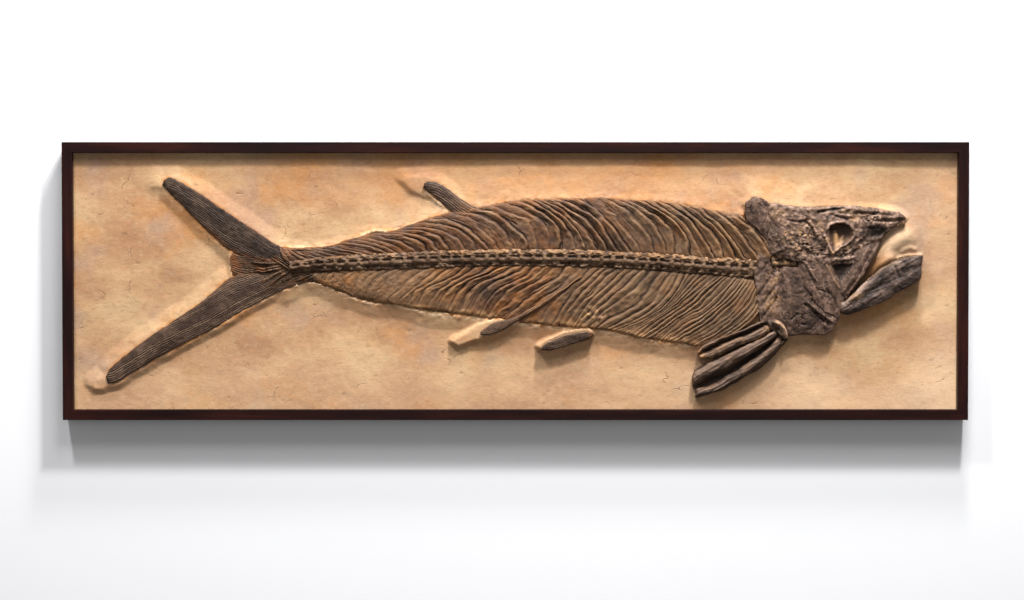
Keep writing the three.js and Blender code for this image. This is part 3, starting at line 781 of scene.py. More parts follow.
def slab():
    """The stone slab: a grid of points over the panel, each at the height of the sculpted surface. It has
    painted shade in its nicks and in the corner of the mouth, and a little painted shadow of the top rail
    over the top."""
    along, across = np.linspace(-SLAB_X, SLAB_X, SLAB_POINTS[0]), np.linspace(-SLAB_Z, SLAB_Z, SLAB_POINTS[1])
    x, z = np.meshgrid(along, across, indexing="ij")
    height, nicks = slab_height(x, z)
    gape = line_distance(x, z, MOUTH_CORNER)[0]
    # a painted shadow of the top rail along the top
    shaded = 0.05 * smooth(320, 520, z) * (1 + smooth(1200, 600, x)) * smooth(-1600, -1200, x)
    crevice = strongest(smooth(0.3, 1.6, -nicks) * 0.5, 0.85 * bell(gape, 0, 24), shaded)
    body, off_z = line_distance(x, z, outline(BODY_OUTLINE))
    part = solid(np.stack([x, z], -1), height, BACK, crevice=crevice, ochre=ochre_and_shade_tint(x, z, body),
                 pale=pale_tint(x, z, body, off_z))
    piece("stone_slab", [part], MATRIX, "matrix_slab")


# ---- the flanks ----

RIB_SHARE = 0.27  # a ridge's half width on its near side, as a share of the space between two ribs
RIB_WIDEST = 9.5  # and the most it may be
FAR_SIDE = 1.55  # how much wider a ridge's far side is
FULL_PITCH = 26.0  # ribs that stand closer than this are lower
EDGE_DROP, EDGE_WIDTH = 7.0, 7.0  # the flank's edges are rounded down this far, over this width


def flank(keys, counts, samples, rows, amplitude, bed, seed, side):
    """A flank: a surface lofted through its key ribs, so that its grid runs along the ribs, with one ridge
    for every whole rib number, a bell of the distance to it, and a gully beside it. Each rib has its own
    seeded height, wander and waver. amplitude(x) is the ridges' height and bed(x, share down a rib) the
    surface they stand on, and side says which way a ridge's near side faces. Gives the points, the shares
    down the ribs, and the height, the painted shade and the painted highlight there."""
    along, across = np.linspace(0, 1, samples), np.linspace(0, 1, rows)
    points = loft(keys, along, across)
    number = np.interp(along * (len(keys) - 1), np.arange(len(keys)), counts)
    number, down = np.meshgrid(number, across, indexing="ij")
    points = points + 3.0 * wander(points[..., 0], points[..., 1], 36, (seed, seed + 1))
    x, z = points[..., 0], points[..., 1]
    # Space between two ribs, measured square to them.
    du, dv = np.gradient(points, axis=0), np.gradient(points, axis=1)
    area = np.abs(du[..., 0] * dv[..., 1] - du[..., 1] * dv[..., 0])
    row_step = np.hypot(dv[..., 0], dv[..., 1])
    pitch = area / np.maximum(row_step, TINY) / np.maximum(np.gradient(number, axis=0), TINY)
    waver = 0.3 * noise(np.round(number) * 97.0, down * 260, 70, seed + 2, 3)
    waver = waver + 0.3 * noise(number * 40, down * 60, 120, seed + 8, 2)
    phase = number + waver
    rib = np.round(phase)
    off = (phase - rib) * pitch * side
    own = 0.8 + 0.45 * noise(rib * 53.0, np.zeros_like(rib), 50, seed + 3, 1)
    width = np.minimum(RIB_WIDEST, pitch * RIB_SHARE)
    ridge = np.where(off > 0, bell(off, 0, width), bell(off, 0, width * FAR_SIDE))
    gully = bell(off, 1.4 * width, 0.5 * width)
    taper = (0.55 + 0.45 * smooth(0, 0.1, down)) * (1 - 0.5 * smooth(0.7, 1.0, down))
    broken = smooth(-0.9, -0.2, noise(rib * 71.0, down * 300, 56, seed + 4, 3))
    scale = amplitude(x) * np.clip(own, 0.45, 1.4) * taper * (0.45 + 0.55 * broken)
    scale = scale * np.minimum(1, pitch / FULL_PITCH)
    grain = noise(number * 260.0, down * 300, 60, seed + 5, 4, 0.22)
    height = bed(x, down) + scale * (ridge - 0.55 * gully) + 0.7 * grain + 1.3 * noise(x, z, 16, seed + 6, 3)
    edge = np.minimum(np.minimum(down, 1 - down) * row_step * (rows - 1), 60)
    height = height - EDGE_DROP * bell(edge, 0, EDGE_WIDTH)
    hollow = blur(height, 3, 2) - height
    # painted shadow in the gully beside each ridge, and painted shade in hollows
    crevice = np.clip(0.62 * gully * np.clip(scale / 7, 0, 1.1) + 0.12 * np.clip(hollow, 0, 4), 0, 0.85)
    worn = smooth(-0.5, 0.8, noise(x, z, 26, seed + 7, 4))
    # painted highlight along the ridges, broken up by seeded noise
    crest = np.clip(ridge * 0.3 * worn * np.clip(scale / 6, 0, 1), 0, 0.5)
    return points, down, height, crevice, crest


def upper_amplitude(x):
    """Height of the ridges above the backbone, more towards the head."""
    return 5.0 + 4.0 * smooth(-700, 0, x) + 1.5 * smooth(300, 700, x)


def upper_bed(x, down):
    """A low arch (sin^0.8) from the backbone to the back's edge, higher at the nape and lower at the
    tail."""
    arch = 10 * np.sin(np.pi * np.clip(down * 0.9 + 0.1, 0, 1)) ** 0.8
    return (FACE + 32 + arch - 5 * down + 10 * smooth(950, 1250, x) * (1 - 0.4 * down)
            - 7 * smooth(-600, -1100, x))


def upper_flank():
    """The spines above the backbone, stained in clouds and along the back's edge."""
    points, down, height, crevice, crest = flank(
        UPPER_RIBS, UPPER_COUNT, 760, 62, upper_amplitude, upper_bed, 21, 1)
    x, z = points[..., 0], points[..., 1]
    stain = strongest(0.55 * smooth(0.25, -0.5, noise(x, z, 170, 31, 3)) * smooth(800, 0, x),
                      smooth(0.8, 1.0, down) * (0.6 + 0.4 * smooth(-400, -900, x)),
                      0.35 * smooth(-0.4, 0.5, noise(x, z, 90, 32, 3)))
    crest = crest + 0.14 * smooth(300, 900, x)
    # part of the ridges' painted highlight is stored with the chalk, to turn it golden towards the tail
    golden_highlight = crest * smooth(500, -200, x)
    part = solid(points, height, FACE + SEATING, crevice=crevice + 0.1 * smooth(-150, -450, x),
                 crest=crest - 0.4 * golden_highlight, stain=stain, chalk=0.45 * golden_highlight)
    piece("ribs_above", [part], RIB_BONE, "upper_flank")


def lower_amplitude(x):
    """Height of the ridges below the backbone, more towards the head."""
    return 2.5 + 4.5 * smooth(-700, -100, x) + 1.0 * smooth(300, 700, x)


def lower_bed(x, down):
    """A low arch (sin^0.8) from the backbone to the belly's edge, higher at the shoulder and lower at the
    tail."""
    arch = 11 * np.sin(np.pi * np.clip(down * 0.85 + 0.1, 0, 1)) ** 0.8
    return FACE + 26 + arch - down + 9 * smooth(950, 1200, x) - 5 * smooth(-600, -1000, x)


def lower_flank():
    """The ribs below the backbone, stained in clouds, chalky along the belly's edge and with a broken
    chalky patch where the pelvic fin joins."""
    points, down, height, crevice, crest = flank(
        LOWER_RIBS, LOWER_COUNT, 800, 60, lower_amplitude, lower_bed, 41, -1)
    x, z = points[..., 0], points[..., 1]
    stain = strongest(0.75 * smooth(0.5, -0.4, noise(x, z, 190, 51, 3)) * smooth(700, 0, x),
                      0.6 * smooth(0.8, 1.0, down), 0.3 * smooth(-0.4, 0.5, noise(x, z, 90, 55, 3)))
    crest = crest + 0.17 * smooth(-50, 500, x) + 0.2 * smooth(-100, -500, x)
    # part of the ridges' painted highlight is stored with the chalk, to turn it golden towards the tail
    golden_highlight = crest * smooth(500, -200, x)
    patch = np.exp(-(((x - 385) / 70) ** 2 + ((z + 172) / 36) ** 2))
    chalk = strongest(smooth(0.88, 1.0, down) * smooth(-0.3, 0.4, noise(x, z, 24, 52, 3)) * 0.75,
                      patch * smooth(-0.1, 0.5, noise(x, z, 20, 53, 3)), 0.45 * golden_highlight)
    height = height + 8 * patch * noise(x, z, 18, 54, 3)
    part = solid(points, height, FACE + SEATING, crevice=crevice, crest=crest - 0.4 * golden_highlight, stain=stain,
                 chalk=chalk)
    piece("ribs_below", [part], RIB_BONE, "lower_flank")


# ---- the backbone ----

CENTRA = 44
SLICES = 16  # points along a centrum
STEPS = 56  # points across the backbone
# The backbone's section: steps square to its line (up is positive), and the height above the slab's face
# there, in the middle of a centrum and at the rim between two.
SECTION = [-38, -31, -23, -15, -7, 1, 6, 12, 18, 25, 34, 41, 48, 54]
SPOOL = [34, 38, 36, 43, 49, 49, 44, 42, 48, 50, 50, 44, 32, 14]
RIM = [34, 40, 43, 47, 52, 55, 55, 54, 54, 53, 50, 44, 32, 14]
# The last two centra show through windows in the shoulder: centre along the panel, half width of the
# window's frame and of its pane. Between them and the others the backbone is hidden.
WINDOWS = [(1289, 21, 14), (1345, 22, 15)]


def backbone():
    """The backbone: a section carried along its line, blended between a spool's and a rim's by a smooth
    step of the distance to the nearest joint. The spool has a long slot above its middle and falls away to
    a foot, both painted dark as shade, and seeded bumps stand along the top, where the arches grow."""
    shares = np.linspace(0, 1, CENTRA * SLICES + 1)
    run = np.concatenate([[0], np.cumsum(np.hypot(*np.diff(spline(SPINE_LINE, shares), axis=0).T))])
    centre = spline(SPINE_LINE, np.interp(np.linspace(0, run[-1], len(shares)), run, shares))
    normal = normals(centre)
    phase = np.linspace(0, CENTRA, len(shares))
    phase = phase + 0.16 * noise(phase * 40, 0 * phase, 60, 60, 2)
    to_joint = np.abs(phase - np.round(phase))[:, None] * 2
    offset = np.interp(np.linspace(0, 1, STEPS)[None, :], np.linspace(0, 1, len(SECTION)), SECTION)
    reach = centre[:, :1]
    big = 0.72 + 0.28 * smooth(-1100, -600, reach)
    big = big + 0.2 * smooth(950, 1120, reach) * smooth(1290, 1230, reach)
    points = centre[:, None] + normal[:, None] * offset[..., None] * big[..., None]
    points = points + 2.2 * wander(points[..., 0], points[..., 1], 24, (71, 72), 3)
    x, z = points[..., 0], points[..., 1]

    rim = 1 - smooth(0.14, 0.55, to_joint)
    knobs = smooth(18, 26, offset) * smooth(52, 44, offset)
    under = smooth(-12, -20, offset)
    bumps, lumpy, patchy = noise(x, z, 15, 61, 3), noise(x, z, 19, 64, 3), noise(x, z, 50, 67, 3)
    middle, joint = np.interp(offset, SECTION, SPOOL), np.interp(offset, SECTION, RIM)
    height = FACE + middle + (joint - middle) * rim + 1.6 * noise(x, z, 12, 62, 3) * (1 - knobs)
    height = height + 7 * knobs * bumps + 6 * under * lumpy
    height = height - 30 * smooth(1196, 1206, x) * smooth(1272, 1264, x)

    uneven = 0.8 + 0.45 * noise(np.floor(phase)[:, None] * 53 + 0 * x, 0 * x, 50, 66, 1)
    slot = bell(offset, 9, 5.5, 4) * (1 - rim) * uneven
    below = bell(offset, -23, 6.5) * (1 - 0.75 * rim)
    faint = 1 - 0.6 * smooth(-500, -980, x)
    # painted shade in the slots, along the foot, between the knobs and below them, with darker patches at
    # random
    crevice = (0.5 * slot + below * (0.26 + 0.22 * patchy)) * faint + 0.4 * knobs * smooth(0.0, 0.7, -bumps)
    crevice = crevice + 0.38 * under * smooth(0.0, 0.6, -lumpy)
    crevice = np.clip(crevice + 0.12 * smooth(0, 0.6, patchy), 0, 0.82)
    worn = smooth(-0.7, 0.6, noise(x, z, 34, 63, 3))
    # a paler band along the middle as painted highlight, paler rims at the joints and paler rib heads below
    rubbed_highlight = 0.15 * bell(offset, -7, 6.5) + 0.25 * rim * smooth(-20, -12, offset) * smooth(28, 20, offset)
    crest = np.maximum(np.clip(rubbed_highlight * worn * faint, 0, 0.6), 0.45 * under * smooth(0.1, 0.6, lumpy))
    window = strongest(*(spot(x, z, cx, 90, wide, 19) for cx, wide, _ in WINDOWS))
    pane = strongest(*(spot(x, z, cx, 90, wide, 11) for cx, _, wide in WINDOWS))
    shown = smooth(1262, 1250, x)
    # the dark ring round each window in the shoulder is painted shade
    crevice = np.maximum(crevice * shown, 0.75 * (window - pane))
    dust = 0.32 * knobs * smooth(-0.1, 0.6, bumps) * smooth(-950, -600, x) * shown
    tube = solid(points, height, FACE + SEATING, crevice=np.clip(crevice, 0, 1), crest=crest,
                 chalk=np.maximum(dust, 0.6 * pane), stain=0.6 * knobs * smooth(-0.3, 0.4, patchy))
    piece("vertebrae", [tube], SPOOL_BONE, "backbone")


# ---- fins and tail ----

def rayed(stations, counts, seed, pitch, rim, crown, ray_height=3.0, leading=0, squeeze=0.0, bright=0.5,
          back=SHALLOW, **tints):
    """A fin blade: a dome across between its edges, with rays pitch mm apart that run along its leading
    edge (0 the first, 1 the second) and end at the other edge, squeezed together by a share towards its
    root. A ray's section is |cos|^0.7 of its number, and each has a seeded height. rim and crown are
    heights above the slab's face, and tints give stored values by functions of x, z and the shares along
    and across."""
    edges = between(stations, np.linspace(0, 1, counts[0]), np.array([0.0, 1.0]))
    width = np.hypot(*(edges[:, 1] - edges[:, 0]).T)[:, None]
    points, x, z, s, t = blade(stations, counts, 2.6, 20, (seed + 4, seed + 5))
    number = width * (1 - t if leading else t) / (pitch * (1 - squeeze * smooth(0.5, 1.0, s)))
    number = number + 0.22 * noise(x, z, 130, seed, 2)
    ray = np.abs(np.cos(np.pi * number)) ** 0.7
    own = noise(np.round(number) * 57.0, s * 40, 50, seed + 1, 1)
    shape = np.sin(np.pi * np.clip(t, 0, 1)) ** 0.45
    ends = smooth(0, 0.03, s) * smooth(1.0, 0.985, s)
    height = FACE + rim + (crown - rim) * shape * (0.4 + 0.6 * ends)
    height = height + ray_height * (0.65 + 0.5 * own) * (ray - 0.6) * shape
    height = height + 1.3 * noise(x, z, 15, seed + 2, 3)
    streak = noise(np.round(number) * 61.0, s * 420, 60, seed + 6, 3)
    broken = smooth(-0.4, 0.4, streak + 0.4 * noise(x, z, 22, seed + 7, 3))
    # painted shade in the grooves between the rays, and painted highlight along their tops
    crevice = np.clip(0.7 * (1 - smooth(0.15, 0.75, ray)) * (0.45 + 0.55 * broken), 0, 0.85)
    crest = bright * smooth(0.7, 1.0, ray) * smooth(-0.5, 0.6, own) * (0.15 + 0.85 * broken)
    stored = {name: np.clip(tint(x, z, s, t), 0, 1) for name, tint in tints.items()}
    return solid(points, height, FACE + back, crevice=crevice, crest=np.clip(crest, 0, 0.7), **stored)


def bars(lines, width, foot, crown, seed):
    """Tapering rounded ridges laid along splines, two closed reliefs a line: the half width and the height
    grow as sin^0.5 of the way along, the section is a half ellipse, and each has its own seeded place and
    size."""
    rng = np.random.default_rng(seed)
    along, across = np.linspace(0, 1, 40)[:, None], np.linspace(-1, 1, 11)[None, :]
    grow = np.sin(np.pi * np.clip(0.06 + 0.9 * along, 0, 1)) ** 0.5
    arch = np.sqrt(np.clip(1.001 - across**2, 0, 1))
    made = []
    for line in np.repeat(lines, 2, axis=0):
        centre = spline(line, along[:, 0]) + rng.uniform(-9, 9, 2)
        normal = normals(centre)
        half = 0.5 * width * rng.uniform(0.75, 1.2) * grow
        points = centre[:, None] + normal[:, None] * half[..., None] * across[..., None]
        points = points + 4 * wander(points[..., 0], points[..., 1], 30, (seed + 1, seed + 2), 3)
        x, z = points[..., 0], points[..., 1]
        height = foot + (crown - foot) * rng.uniform(0.8, 1.1) * grow * arch
        height = height + 1.4 * noise(x, z, 11, seed + 3, 3)
        light = smooth(0.5, 0.95, arch) * smooth(-0.4, 0.6, noise(x, z, 24, seed + 4, 3))
        # painted highlight along each bar's top and painted shade along its feet
        made.append(solid(points, height, FACE + SHALLOW, crest=0.3 * light,
                          crevice=0.75 * smooth(0.7, 1.0, np.abs(across)) + 0 * x,
                          stain=0.6 * smooth(0.0, 0.7, noise(x, z, 40, seed + 5, 3))))
    return made


def upper_lobe_stain(x, z, s, t):
    """Iron along both edges of the upper lobe, broadest near its root."""
    return (0.9 * smooth(0.2, 0.0, t) * smooth(-1560, -1420, x) + 0.6 * smooth(0.06, 0.0, t)
            + 0.5 * smooth(0.95, 1.0, t))


def lower_lobe_stain(x, z, s, t):
    """Iron along the lower lobe's upper edge and over its root."""
    return 0.7 * smooth(0.9, 1.0, t) + 0.5 * smooth(-1300, -1050, x)


def fan_stain(x, z, s, t):
    """Iron along the ragged hind edge of the fan between the lobes."""
    return 0.65 * smooth(-1345, -1395, x + 24 * noise(x, z, 26, 94, 3)) + 0.1


def tail():
    """The tail's two lobes, and the fan, the rayed bed and the crossing bars at its root."""
    upper = rayed(TAIL_UPPER_LOBE, (150, 84), 81, pitch=10, rim=19, crown=26, ray_height=3.2, leading=1,
                  squeeze=0.25, bright=0.34, stain=upper_lobe_stain)
    piece("tail_lobe_upper", [upper], TAIL_BONE, "tail_upper_lobe")
    lower = rayed(TAIL_LOWER_LOBE, (170, 96), 86, pitch=10.5, rim=19, crown=27, ray_height=3.4, squeeze=0.35,
                  bright=0.52, stain=lower_lobe_stain)
    piece("tail_lobe_lower", [lower], RAY_BONE, "tail_lower_lobe")
    fan = rayed(TAIL_FAN, (90, 90), 91, pitch=11, rim=15, crown=21, squeeze=0.65, bright=0.45,
                stain=fan_stain)
    bed = rayed(TAIL_ROOT, (110, 80), 96, pitch=15, rim=18, crown=26, bright=0.4,
                stain=lambda x, z, s, t: 0.5 * smooth(0.6, 1.0, t) + 0.25)
    above = bars(UPPER_BARS, 11, FACE + 22, FACE + 34, 301)
    below = bars(LOWER_BARS, 11, FACE + 20, FACE + 33, 311)
    piece("tail_root", [fan, bed, *above, *below], ROOT_BONE, "tail_fan")


def small_fins():
    """The dorsal, anal and pelvic fins, each stained towards the body."""
    dorsal = rayed(DORSAL_FIN, (70, 60), 101, pitch=12, rim=22, crown=31, ray_height=3.2, leading=1,
                   stain=lambda x, z, s, t: 0.7 * smooth(0.5, 0.9, s))
    piece("fin_dorsal", [dorsal], RAY_BONE, "dorsal_fin")
    anal = rayed(ANAL_FIN, (90, 40), 106, pitch=9, rim=38, crown=44, bright=0.4, back=SEATING,
                 stain=lambda x, z, s, t: 0.5 * smooth(0.3, 0.8, s))
    piece("fin_anal", [anal], RIB_BONE, "anal_fin")
    pelvic = rayed(PELVIC_FIN, (60, 56), 111, pitch=9, rim=39, crown=47, ray_height=2.6, back=SEATING,
                   chalk=lambda x, z, s, t: 0.3 * smooth(0.7, 0.84, t) + 0.4 * smooth(0.1, 0.0, s),
                   stain=lambda x, z, s, t: smooth(0.8, 0.95, s))
    piece("fin_pelvic", [pelvic], RAY_BONE, "pelvic_fin")


RAY_EDGE = 12.0  # height of a breast fin ray's ends above the slab's face
RAY_BACK = 4.0  # and of its back
KNUCKLE = [(1296, -204), (1326, -226), (1348, -272)]


def breast_ray(k, stations):
    """One of the breast fin's broad rays, which touch along their sides. It follows its own section of
    ridges and troughs, lower towards its tip, and is streaked lengthways. The first is dusted with
    chalk."""
    points, x, z, s, t = blade(stations, (110, 48), 4, 50, (120 + k, 130 + k))
    t = np.clip(t + 0.05 * noise(x, z, 60, 170 + k, 3), 0, 1)
    section = np.interp(t, *PECTORAL_SECTIONS[k])
    ends = smooth(0, 0.03, s) * smooth(1.0, 0.96, s)
    lift = 0.8 + 0.2 * smooth(0, 0.5, s)
    streak = noise(x * 0.87 + z * 0.49, z * 0.87 - x * 0.49, 9, 140 + k, 3, 7.0)
    height = FACE + RAY_EDGE + (section * lift - RAY_EDGE) * (0.55 + 0.45 * ends)
    height = height + 1.8 * streak + 1.4 * noise(x, z, 14, 150 + k, 3)
    # painted shade in the troughs and the streaks' grooves, and painted highlight on the streaks and high
    # ridges
    low = smooth(46, 24, section)
    crevice = np.clip(0.72 * low * smooth(0.0, 0.1, s) + 0.3 * smooth(0.1, 0.9, -streak), 0, 0.85)
    crest = np.clip(0.3 * smooth(-0.1, 0.8, streak) + 0.25 * smooth(52, 62, section), 0, 0.6) * (1 - low)
    tip = smooth(0.22, 0.05, s) * (k == 0)
    stain = np.clip(0.5 * smooth(0.0, 0.8, noise(x, z, 70, 160 + k, 3)) + 0.8 * tip, 0, 1)
    dusty = smooth(-0.2, 0.5, noise(x, z, 22, 180 + k, 3)) * smooth(0.6, 0.3, t) * (k == 0)
    part = solid(points, height, FACE + RAY_BACK, crevice=crevice * (1 - 0.6 * tip), crest=crest, stain=stain,
                 chalk=np.clip(0.3 * dusty + 0.3 * tip, 0, 1))
    piece(f"breast_ray_{k + 1}", [part], FIN_BONE, f"pectoral_ray_{k + 1}")


def knuckle(x, z):
    """The worn round head of the breast fin's base, paler from rubbing: a bell of the distance to its line.
    """
    return 0.95 * bell(line_distance(x, z, KNUCKLE)[0], 0, 11)


def pectoral():
    """The breast fin: its rays, and the knuckle that they spring from."""
    for k, stations in enumerate(PECTORAL_RAYS):
        breast_ray(k, stations)
    marks = [
        ([(1280, -202), (1312, -212), (1336, -240), (1350, -276)], 11, 12),
        ([(1284, -232), (1296, -240)], 12, -14), ([(1300, -270), (1324, -284)], 8, -6),
    ]
    plate("breast_fin_base", "pectoral_base", PECTORAL_BASE, (50, 40), 171, rim=44, crown=60, marks=marks,
          rough=2, material=FIN_BONE, slot="fin_bone", crest=knuckle, chalk=lambda x, z: 0.3 * knuckle(x, z))


# ---- the head ----

# Closed outlines and lines on the head: the eye's opening, its lower corner, the window between cheek and
# upper jaw, and the hollow behind the snout.
ORBIT = [(1541, 258), (1552, 278), (1582, 291), (1622, 293), (1652, 281), (1672, 252), (1675, 226),
         (1662, 204), (1638, 184), (1606, 168), (1570, 140), (1558, 172), (1546, 212), (1541, 258)]
EYE_CORNER = [(1534, 212), (1552, 172), (1570, 138), (1592, 156), (1644, 172)]
CHEEK_WINDOW = [(1556, 86), (1612, 94), (1684, 92), (1660, 46), (1608, -10), (1578, 32), (1556, 86)]
SNOUT_HOLLOW = [(1722, 214), (1738, 282), (1800, 286), (1846, 268), (1850, 246), (1812, 210), (1760, 202),
                (1722, 214)]
# Ridges and grooves of the skull, as strokes.
SKULL_MARKS = [
    (ORBIT[:4], 8, 7), (ORBIT[3:7], 9, 4), (ORBIT[6:11], 8, 6),
    ([(1530, 225), (1548, 178), (1568, 138)], 6, 7),
    ([(1330, 362), (1420, 356), (1520, 357)], 12, 5), ([(1600, 362), (1700, 355), (1850, 342)], 12, 8),
    ([(1500, 343), (1560, 353), (1625, 361)], 7, -9), ([(1436, 292), (1462, 270), (1478, 226)], 6, -8),
    ([(1452, 290), (1478, 262), (1490, 230)], 7, 5), ([(1350, 300), (1400, 292), (1440, 300)], 7, -5),
    ([(1690, 340), (1740, 332), (1792, 338)], 7, -6), ([(1800, 314), (1870, 316), (1930, 318)], 9, 6),
    ([(1790, 300), (1850, 296), (1900, 300)], 6, -5), ([(1480, 206), (1508, 180), (1520, 150)], 16, -7),
    ([(1400, 170), (1440, 150), (1490, 130)], 10, -6), ([(1560, 120), (1640, 128), (1700, 150)], 12, -6),
    ([(1540, 104), (1620, 108), (1690, 122)], 8, 5), ([(1690, 296), (1704, 250), (1690, 200)], 9, 4),
    ([(1690, 190), (1720, 150)], 12, 5), ([(1300, 150), (1340, 170), (1400, 160)], 12, 5),
    ([(1600, 330), (1660, 322)], 7, 5), ([(1560, 330), (1640, 306)], 6, -5),
]
# Where the skull is rough, dark and cream, as patches.
SKULL_ROUGH = [(1450, 190, 90, 80, 0, 1, 1), (1740, 320, 70, 30, 0, 1, 1), (1620, 120, 90, 34, 0, 1, 1)]
SKULL_DARK = [
    (1785, 246, 68, 40, 0.12, 0.9, 0.95), (1560, 354, 66, 9, 0.14, 0.8, 0.5),
    (1740, 334, 54, 12, 0, 0.6, 0.1), (1504, 184, 24, 34, 0, 0.6, 0.4),
    (1466, 164, 34, 22, 0, 0.6, 0.3), (1392, 198, 16, 14, 0, 0.7, 0.4),
    (1402, 281, 24, 11, 0.2, 0.5, 0.4), (1285, 215, 40, 80, 0, 0.4, 0.7), (1330, 150, 60, 24, 0, 0.4, 0.5),
    (1860, 318, 60, 22, 0, 0.35, 0.4), (1700, 120, 40, 30, 0.5, 0.4, 0.3), (1610, 118, 60, 14, 0, 0.5, 0.4),
]
SKULL_CREAM = [
    (1676, 314, 30, 18, 0.2, 0.75, 0.3), (1430, 236, 44, 50, 0, 0.55, 0), (1342, 236, 30, 56, 0, 0.5, 0),
    (1508, 266, 28, 40, 0, 0.4, 0.1), (1722, 340, 40, 14, 0, 0.5, 0.1), (1700, 145, 26, 30, 0, 0.4, 0),
    (1400, 150, 50, 22, 0, 0.35, 0), (1300, 335, 40, 34, 0, 0.3, 0.4), (1640, 340, 40, 16, 0, 0.35, 0),
]


def plate(name, node, stations, counts, seed, rim, crown, marks=(), rough=3.0, pits=0.0, pitted=None,
          carved=None, material=HEAD_BONE, slot="bone", **tints):
    """A bone of the head: a dome between its edges, with sculpting strokes, fractal roughness, sutures, and
    small pits where pitted says. rim and crown are heights above the slab's face, carved is a depth to take
    off, and tints give stored values. All of these functions take x and z."""
    points, x, z, s, t = blade(stations, counts, 4.5, 34, (seed, seed + 1))
    lumps, grit = noise(x, z, 60, seed + 2, 5), noise(x, z, 13, seed + 3, 3)
    holes = smooth(0.35, 0.8, noise(x, z, 13, seed + 4, 2))
    if pitted is not None:
        holes = holes * pitted(x, z)
    height = FACE + rim + (crown - rim) * domed(s, t, 0.28, 12) + rough * 1.6 * lumps + rough * 0.55 * grit
    height = height - pits * holes + strokes(x, z, marks)
    if carved is not None:
        height = height - carved(x, z)
    cracks = sutures(x, z, 70, (seed + 7, seed + 8), 0.0)
    height = height - 2 * cracks
    hollow = blur(height, 4, 4) - height
    # painted shade in hollows and pits, and dark sutures
    crevice = np.clip(0.13 * np.clip(hollow, 0, 6) + 0.55 * holes * min(1, pits / 5) + 0.4 * cracks, 0, 0.85)
    edge = smooth(0.03, 0.1, np.minimum(np.minimum(t, 1 - t), np.minimum(s, 1 - s)))
    worn = smooth(-0.5, 0.7, noise(x, z, 40, seed + 5, 3))
    # paler crests: painted highlight on convex parts, and pale flecks at random
    crest = np.clip(0.14 * np.clip(-hollow, 0, 5) * worn, 0, 0.75) * edge
    fleck = smooth(0.25, 0.9, noise(x, z, 16, seed + 6, 4))
    stored = {"crevice": crevice, "crest": np.clip(crest + 0.3 * fleck, 0, 0.75)}
    for key, tint in tints.items():
        stored[key] = np.maximum(stored.get(key, 0), np.clip(tint(x, z), 0, 1))
    piece(name, [solid(points, height, FACE + SEATING, **stored)], material, node)


def teeth(line, count, length, width, foot, seed, up=1.0):
    """Small sharp teeth in a row, standing up (or down, where up is -1) from a line in the panel's plane:
    each a cone a few rings high that leans by a seeded amount and whose section is a half circle."""
    rng = np.random.default_rng(seed)
    s, t = np.linspace(0, 1, 5)[:, None], np.linspace(-1, 1, 5)[None, :]
    half = width * (1 - s) ** 0.8 * 0.5 + 0.25
    height = foot + half * np.sqrt(np.clip(1.02 - t * t, 0, 1))
    made = []
    for cx, cz in spline(line, np.linspace(0, 1, count)):
        tall = length * rng.uniform(0.5, 1.15)
        lean = rng.uniform(-0.25, 0.25)
        points = np.stack([cx + half * t + lean * tall * s, cz + up * tall * s + 0 * t], -1)
        made.append(solid(points, height, foot - 4, chalk=np.full(height.shape, 0.5)))
    return made


def eye_socket(x, z):
    """How deep in the eye's opening a point lies, 0 to 1, and the pale wedge of stone that stands in it."""
    wedge = np.maximum(spot(x, z, 1589, 198, 14, 50, 0.12), 0.8 * spot(x, z, 1606, 190, 12, 36, -0.5))
    return bowl(x, z, ORBIT, 30), wedge


def skull_height(x, z, s, t):
    """Height of the skull: a dome that sinks to the snout and the nape, with lumps, grit, holes, strokes
    and sutures, the eye's opening and the hollow behind the snout. Gives the height, the holes and the
    sutures."""
    eye, wedge = eye_socket(x, z)
    busy = patches(x, z, SKULL_ROUGH, 205)
    holes = smooth(0.25, 0.75, noise(x, z, 17, 206, 3)) * (0.2 + 0.8 * busy)
    level = FACE + 54 + 18 * domed(s, t, 0.3, 10) - 16 * smooth(1720, 1930, x) - 8 * smooth(1340, 1250, x)
    lumps = 5 * noise(x, z, 48, 203, 5) + (1.6 + 1.6 * busy) * noise(x, z, 12, 204, 3) - 5 * holes
    cracks = sutures(x, z, 64, (212, 213), -0.1)
    height = level + lumps * (1 - eye) + strokes(x, z, SKULL_MARKS) * (1 - 0.8 * eye) - 24 * eye - 2 * cracks
    return height + 10 * wedge * eye - 9 * bowl(x, z, SNOUT_HOLLOW, 26), holes, cracks


